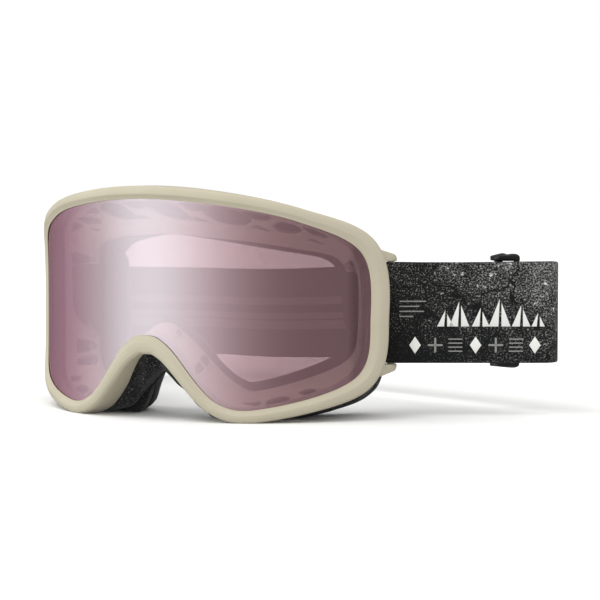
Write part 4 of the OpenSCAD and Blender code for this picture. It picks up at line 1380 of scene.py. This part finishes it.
def strap():
    """The whole elastic strap, layer by layer."""
    outer = webbing(spaced(END_L, S_END - END_L), 0.0)
    outer = build("strap_webbing_outer", outer, PRINTED_WEBBING, CLOTH_EDGE)
    dress(outer, ["strap_front", "strap_rear"])
    inner = webbing(spaced(END_L, JOIN_S), -PLY)
    inner = build("strap_webbing_inner", inner, PLAIN_WEBBING, CLOTH_EDGE)
    dress(inner, ["strap_inner"])

    s = np.linspace(STUB, END_L, 24)
    inside = -meeting(s - STUB, PLY, END_L - STUB)
    for name, offset, cloth, slot in (
        ("strap_end_near_outer", 0.0, PRINTED_WEBBING, "webbing_print"),
        ("strap_end_near_inner", inside, PLAIN_WEBBING, "webbing"),
    ):
        near = build(name, webbing(s, offset), cloth, CLOTH_EDGE)
        dress(near, ["strap_right_end"], None)
        in_metres(STUB, 0)
        in_metres(END_L, 0)
        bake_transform(near)

    start, end = S_END - END_L, S_END - STUB
    s = np.linspace(start, end, 24)
    sewn = -meeting(end - s[4:], STRAP_T - 0.1, 0.7 * END_L - STUB)
    layers = [webbing(s, 0.0), webbing(s[4:], sewn)]
    away = build("strap_end_far", joined(layers), PLAIN_WEBBING, CLOTH_EDGE)
    dress(away, ["strap_left_end"], None)
    in_metres(S_END - END_L, 0)
    in_metres(S_END - STUB, 0)
    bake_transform(away)

    tail = SLIDER_S - TAIL_L
    s = spaced(JOIN_S - 0.4, tail + 0.4, 1.5)
    middle = build("strap_inner_end_cloth", webbing(s, -PLY), PLAIN_WEBBING, CLOTH_EDGE)
    dress(middle, ["strap_inner_end"], None)
    in_metres(JOIN_S, -PLY)
    in_metres(SLIDER_S - TAIL_L, -PLY)
    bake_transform(middle)

    for name, at, flip, cloth, body in (
        ("strap_loop_right", 0.0, False, PRINTED_WEBBING, "outrigger_right"),
        ("strap_loop_left", S_END, True, PLAIN_WEBBING, "outrigger_left"),
    ):
        loop = build(name + "_cloth", around_bar(at, flip), cloth, CLOTH_EDGE)
        dress(loop, [name], body)

    s = np.arange(S_FREE + 6, start - 12, 3.0)
    inside = -(STRAP_T + GRIP_T) / 2
    grips = joined([webbing(s, inside, width, GRIP_T, low) for low, width in STRIPES])
    dress(build("silicone_grips", grips, SILICONE, CLOTH_EDGE), ["strap_grips"])

    stitch_rows("stitches_left_end", start, -(1.5 * STRAP_T - 0.1), "frame")
    stitch_rows("stitches_slider_loop", tail, -(PLY + 1.5 * STRAP_T - 0.15), "slider")


# ---------------------------------------------------------------- slider

LOOP_R = SLIDER_BAR_R + 0.3
MID_BAR = PLY + LOOP_R + STRAP_T / 2
OUT_BAR = -(STRAP_T / 2 + 0.3 + SLIDER_BAR_R)


def on_strap(part):
    """Part drawn with X along the strap, Y inwards and Z up from its middle, put at the slider's
    place."""
    verts, faces, uv = part
    h = float(bearing(SLIDER_S))
    plan = route(SLIDER_S) + verts[:, :1] * ahead(h) - verts[:, 1:2] * outwards(h)
    return np.column_stack([plan, STRAP_Z + sag(SLIDER_S) + verts[:, 2]]), faces, uv


def slider_plate(low, high, way):
    """The upper (way 1) or lower (way -1) end plate of the slider, built from sections along the
    strap: each is a rounded box that narrows from the full depth at the middle to the outer bars,
    and its height falls steeply at both ends and dips a little at the middle, which leaves two
    round lobes."""
    half = SLIDER_PITCH / 2
    r = SLIDER_BAR_R + 0.4
    x = (half + r) * np.sin(np.linspace(-np.pi / 2, np.pi / 2, 49))
    away = np.abs(x) / (half + r)
    fall = np.sqrt(np.clip(1 - away**5, 0, None))
    tall = 0.02 + (high - low) * fall - 1.2 * hump(x, 0, 1.5)
    near = OUT_BAR - r * fall
    inner = np.clip((np.abs(x) - half / 2) / (half / 2 + r), 0, 1)
    far = (MID_BAR + r) * (1 - inner) + OUT_BAR * inner
    turn = way * np.linspace(0, 2 * np.pi, 32, endpoint=False)
    c, s = (np.sign(f) * np.abs(f) ** PLATE_ROUNDNESS for f in (np.cos(turn), np.sin(turn)))
    y = (near + far)[:, None] / 2 + (far - near)[:, None] / 2 * c
    z = way * (low + tall[:, None] * (1 + way * s) / 2 * (1 - 0.2 * np.clip(c + 0.4, 0, 1)))
    return tube(np.stack([np.broadcast_to(x[:, None], y.shape), y, z], -1))


def slider():
    """Slider: two lobed end plates joined by two bars outside the strap and one inside it. The
    strap's own end goes round the middle bar and is sewn back on itself."""
    outer_h, inner_h = STRAP_W / 2 + SLIDER_LOBE, STRAP_W / 2 + 0.4
    half = SLIDER_PITCH / 2
    parts = [slider_plate(inner_h, outer_h, way) for way in (1, -1)]
    for centre in ((-half, OUT_BAR), (half, OUT_BAR), (0, MID_BAR)):
        parts.append(post(centre, SLIDER_BAR_R, -inner_h - 0.5, inner_h + 0.5))
    piece = build("strap_slider", on_strap(joined(parts)), SLIDER_ACETAL, HARD_EDGE)
    dress(piece, ["slider"], "slider")

    t = np.linspace(-np.pi / 2, np.pi / 2, 17)
    mid = LOOP_R + STRAP_T / 2
    homeward = np.linspace(-0.5, -TAIL_L, 12)
    share = smooth(np.clip((-homeward - 0.5) / (0.7 * TAIL_L), 0, 1))
    back = MID_BAR + mid + (PLY + STRAP_T - 0.15 - MID_BAR - mid) * share
    x = np.concatenate([np.linspace(-TAIL_L, -0.5, 9), mid * np.cos(t), homeward])
    y = np.concatenate([np.full(9, PLY), MID_BAR + mid * np.sin(t), back])
    px, py, section, along = carried(x, y, -1)
    z = np.broadcast_to(section[:, 1], px.shape)
    uv = np.stack(np.broadcast_arrays(along, across_cloth(section)), -1)
    loop = on_strap(tube(np.stack([px, py, z], -1), uv))
    loop = build("slider_loop_cloth", loop, PLAIN_WEBBING, CLOTH_EDGE)
    dress(loop, ["slider_loop"], "slider")


# ---------------------------------------------------------------- stage, camera and light


def camera():
    """Camera of the photo: 150 mm lens from 0.98 m, 30 degrees to the goggles' left of straight
    ahead and slightly above, aimed a little past the middle of the lens."""
    turn, tilt = np.radians([29.92568, 3.65888])
    aside, above, away, lens_height = 60.48, 8.70344, 978.35778, 38.42
    right = np.array([np.cos(turn), np.sin(turn), 0])
    back = np.array([np.sin(turn) * np.cos(tilt), -np.cos(turn) * np.cos(tilt), np.sin(tilt)])
    up = np.cross(back, right)
    spot = (aside * right + above * up + away * back + (0, 0, lens_height)) * MM
    eye = bpy.data.cameras.new("camera")
    eye.lens, eye.sensor_width, eye.clip_start = 150, 36, 0.02
    holder = bpy.data.objects.new("camera", eye)
    bpy.context.scene.collection.objects.link(holder)
    axes = np.vstack([np.column_stack([right, up, back, spot]), (0, 0, 0, 1)])
    holder.matrix_world = Matrix(axes.tolist())
    bpy.context.scene.camera = holder


def floor():
    """Plain white sweep under the goggles: a disc that is level out to its edge. It bounces less
    light up than it shows."""
    count = 96
    turn = np.linspace(0, 2 * np.pi, count, endpoint=False)
    r = np.array([40, 400, 1500, 4000])[:, None]
    points = np.stack([r * np.cos(turn), r * np.sin(turn), 0 * r * turn], -1)
    verts = np.concatenate([points.reshape(-1, 3), [[0, 0, 0]]])
    faces = grid_faces(len(r), count, False).tolist()
    faces += [[k, (k + 1) % count, len(verts) - 1] for k in range(count)]
    material, tree = new_material("painted_board")
    grain = noise(tree, here(tree), 1.5, 3.0)
    seen = add(tree, "ShaderNodeLightPath").outputs["Is Camera Ray"]
    white = blended(tree, grain, "#f5f5f4", "#f8f8f7")
    coated(
        tree,
        {
            "Roughness": 0.9,
            "Specular IOR Level": 0.1,
            "Base Color": blended(tree, seen, "#dcdcdb", white),
            "Normal": bumped(tree, grain, 0.02, 0.2),
        },
    )
    board = build("floor", (verts, faces, None), material)
    board.visible_glossy = False


def sky():
    """Soft studio light: white to the camera, an even tent above and in front for surfaces, and
    for mirrors a dim tent with one broad softbox to the left of straight ahead, which ends in a
    darker wall at the right."""
    world = bpy.data.worlds.new("studio")
    bpy.context.scene.world = world
    world.use_nodes = True
    tree = world.node_tree
    tree.nodes.clear()
    way = add(tree, "ShaderNodeTexCoord").outputs["Generated"]
    x, y, z = add(tree, "ShaderNodeSeparateXYZ", {"Vector": way}).outputs

    def do(kind, a, b=0.0):
        """One step of arithmetic in this tree."""
        return calc(tree, kind, a, b)

    soft = 0.2  # the tent's own strength, then more from above, both sides, the left and ahead
    for kind, axis, gain in (
        ("MAXIMUM", z, 0.95),
        ("ABSOLUTE", x, 0.5),
        ("MINIMUM", x, -0.6),
        ("MINIMUM", y, -0.4),
    ):
        soft = do("ADD", soft, do("MULTIPLY", do(kind, axis), gain))

    azimuth = do("ARCTAN2", x, do("MULTIPLY", y, -1.0))
    tall = do("DIVIDE", z, 0.6)
    above = do("MULTIPLY", do("MULTIPLY", tall, tall), 2.0)

    def glow_at(centre, width):
        """Soft glow about an azimuth, both in degrees, that fades upwards and downwards."""
        off = do("SUBTRACT", azimuth, float(np.radians(centre)))
        off = do("DIVIDE", off, float(np.radians(width)))
        fade = do("ADD", do("MULTIPLY", off, off), above)
        return do("EXPONENT", do("MULTIPLY", fade, -0.5))

    box, core = glow_at(-31, 30.5), glow_at(-33, 24.5)
    wall = between(tree, azimuth, float(np.radians(75.5)), float(np.radians(79.5)))
    box = do("ADD", do("MULTIPLY", box, 1.42), do("MULTIPLY", wall, -0.12))
    dim_tent = ((0.34, 0.0), (0.325, 0.87), (0.325, 0.78))  # base, and gain of the cooler core
    glow = {
        channel: do("ADD", do("ADD", box, base), do("MULTIPLY", core, cool))
        for channel, (base, cool) in zip(("Red", "Green", "Blue"), dim_tent)
    }
    glow = add(tree, "ShaderNodeCombineColor", glow).outputs[0]

    path = add(tree, "ShaderNodeLightPath").outputs
    white = (1, 1, 1, 1)
    tent, mirror, plain = (
        add(tree, "ShaderNodeBackground", {"Color": colour, "Strength": strength}).outputs[0]
        for colour, strength in ((white, soft), (glow, 1.0), (white, 1.0))
    )
    lit = mixed(tree, path["Is Glossy Ray"], tent, mirror)
    lit = mixed(tree, path["Is Camera Ray"], lit, plain)
    finished(tree, lit, "ShaderNodeOutputWorld")


def softbox(name, spot, aim, size, watts):
    """Square softbox at spot, turned to face aim, both in metres."""
    lamp = bpy.data.lights.new(name, "AREA")
    lamp.size, lamp.energy = size, watts
    holder = bpy.data.objects.new(name, lamp)
    bpy.context.scene.collection.objects.link(holder)
    holder.location = spot
    holder.rotation_euler = (Vector(aim) - Vector(spot)).to_track_quat("-Z", "Y").to_euler()
    holder.visible_glossy = False


# ---------------------------------------------------------------- the goggles

bpy.context.scene.view_settings.view_transform = "Standard"
camera()
sky()
floor()
softbox("key_softbox", (-0.35, -0.55, 1.4), (0, 0.05, 0.04), 0.8, 5)

dress(build("rim_moulding", front_rim(), RIM_TPU, 60), ["front_rim"])
dress(build("rim_ears", rim_ears(), RIM_TPU, HARD_EDGE), ["front_rim"])

lens = build("lens_outer_shell", lens_shell(0, OUTER_LENS_T), DYED_LENS, HARD_EDGE)
coat_front(lens)
dress(lens, ["outer_lens"])
inner = lens_shell(OUTER_LENS_T + LENS_GAP, INNER_LENS_T)
dress(build("lens_inner_shell", inner, CLEAR_LENS, HARD_EDGE), ["inner_lens"])
dress(build("lens_gasket_tape", lens_gasket(), GASKET_FOAM, CLOTH_EDGE), ["lens_gasket"])

dress(chassis(), ["chassis"])
face_foam()
vent_foam("cut_vent_foam_top", -VENT_TOP_END, VENT_TOP_END, 11)
vent_foam("cut_vent_foam_bottom", VENT_BOTTOM_START, KNOTS - VENT_BOTTOM_START, 12)

for side, way in (("right", 1), ("left", -1)):
    arms = build("outrigger_moulding_" + side, outrigger(way), RIM_TPU, HARD_EDGE)
    dress(arms, ["outrigger_" + side], "outrigger_" + side)
    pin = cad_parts["hinge_pin_" + side]
    pin.data.materials.clear()
    pin.data.materials.append(PIN_STEEL)

strap()
slider()
print_motifs()
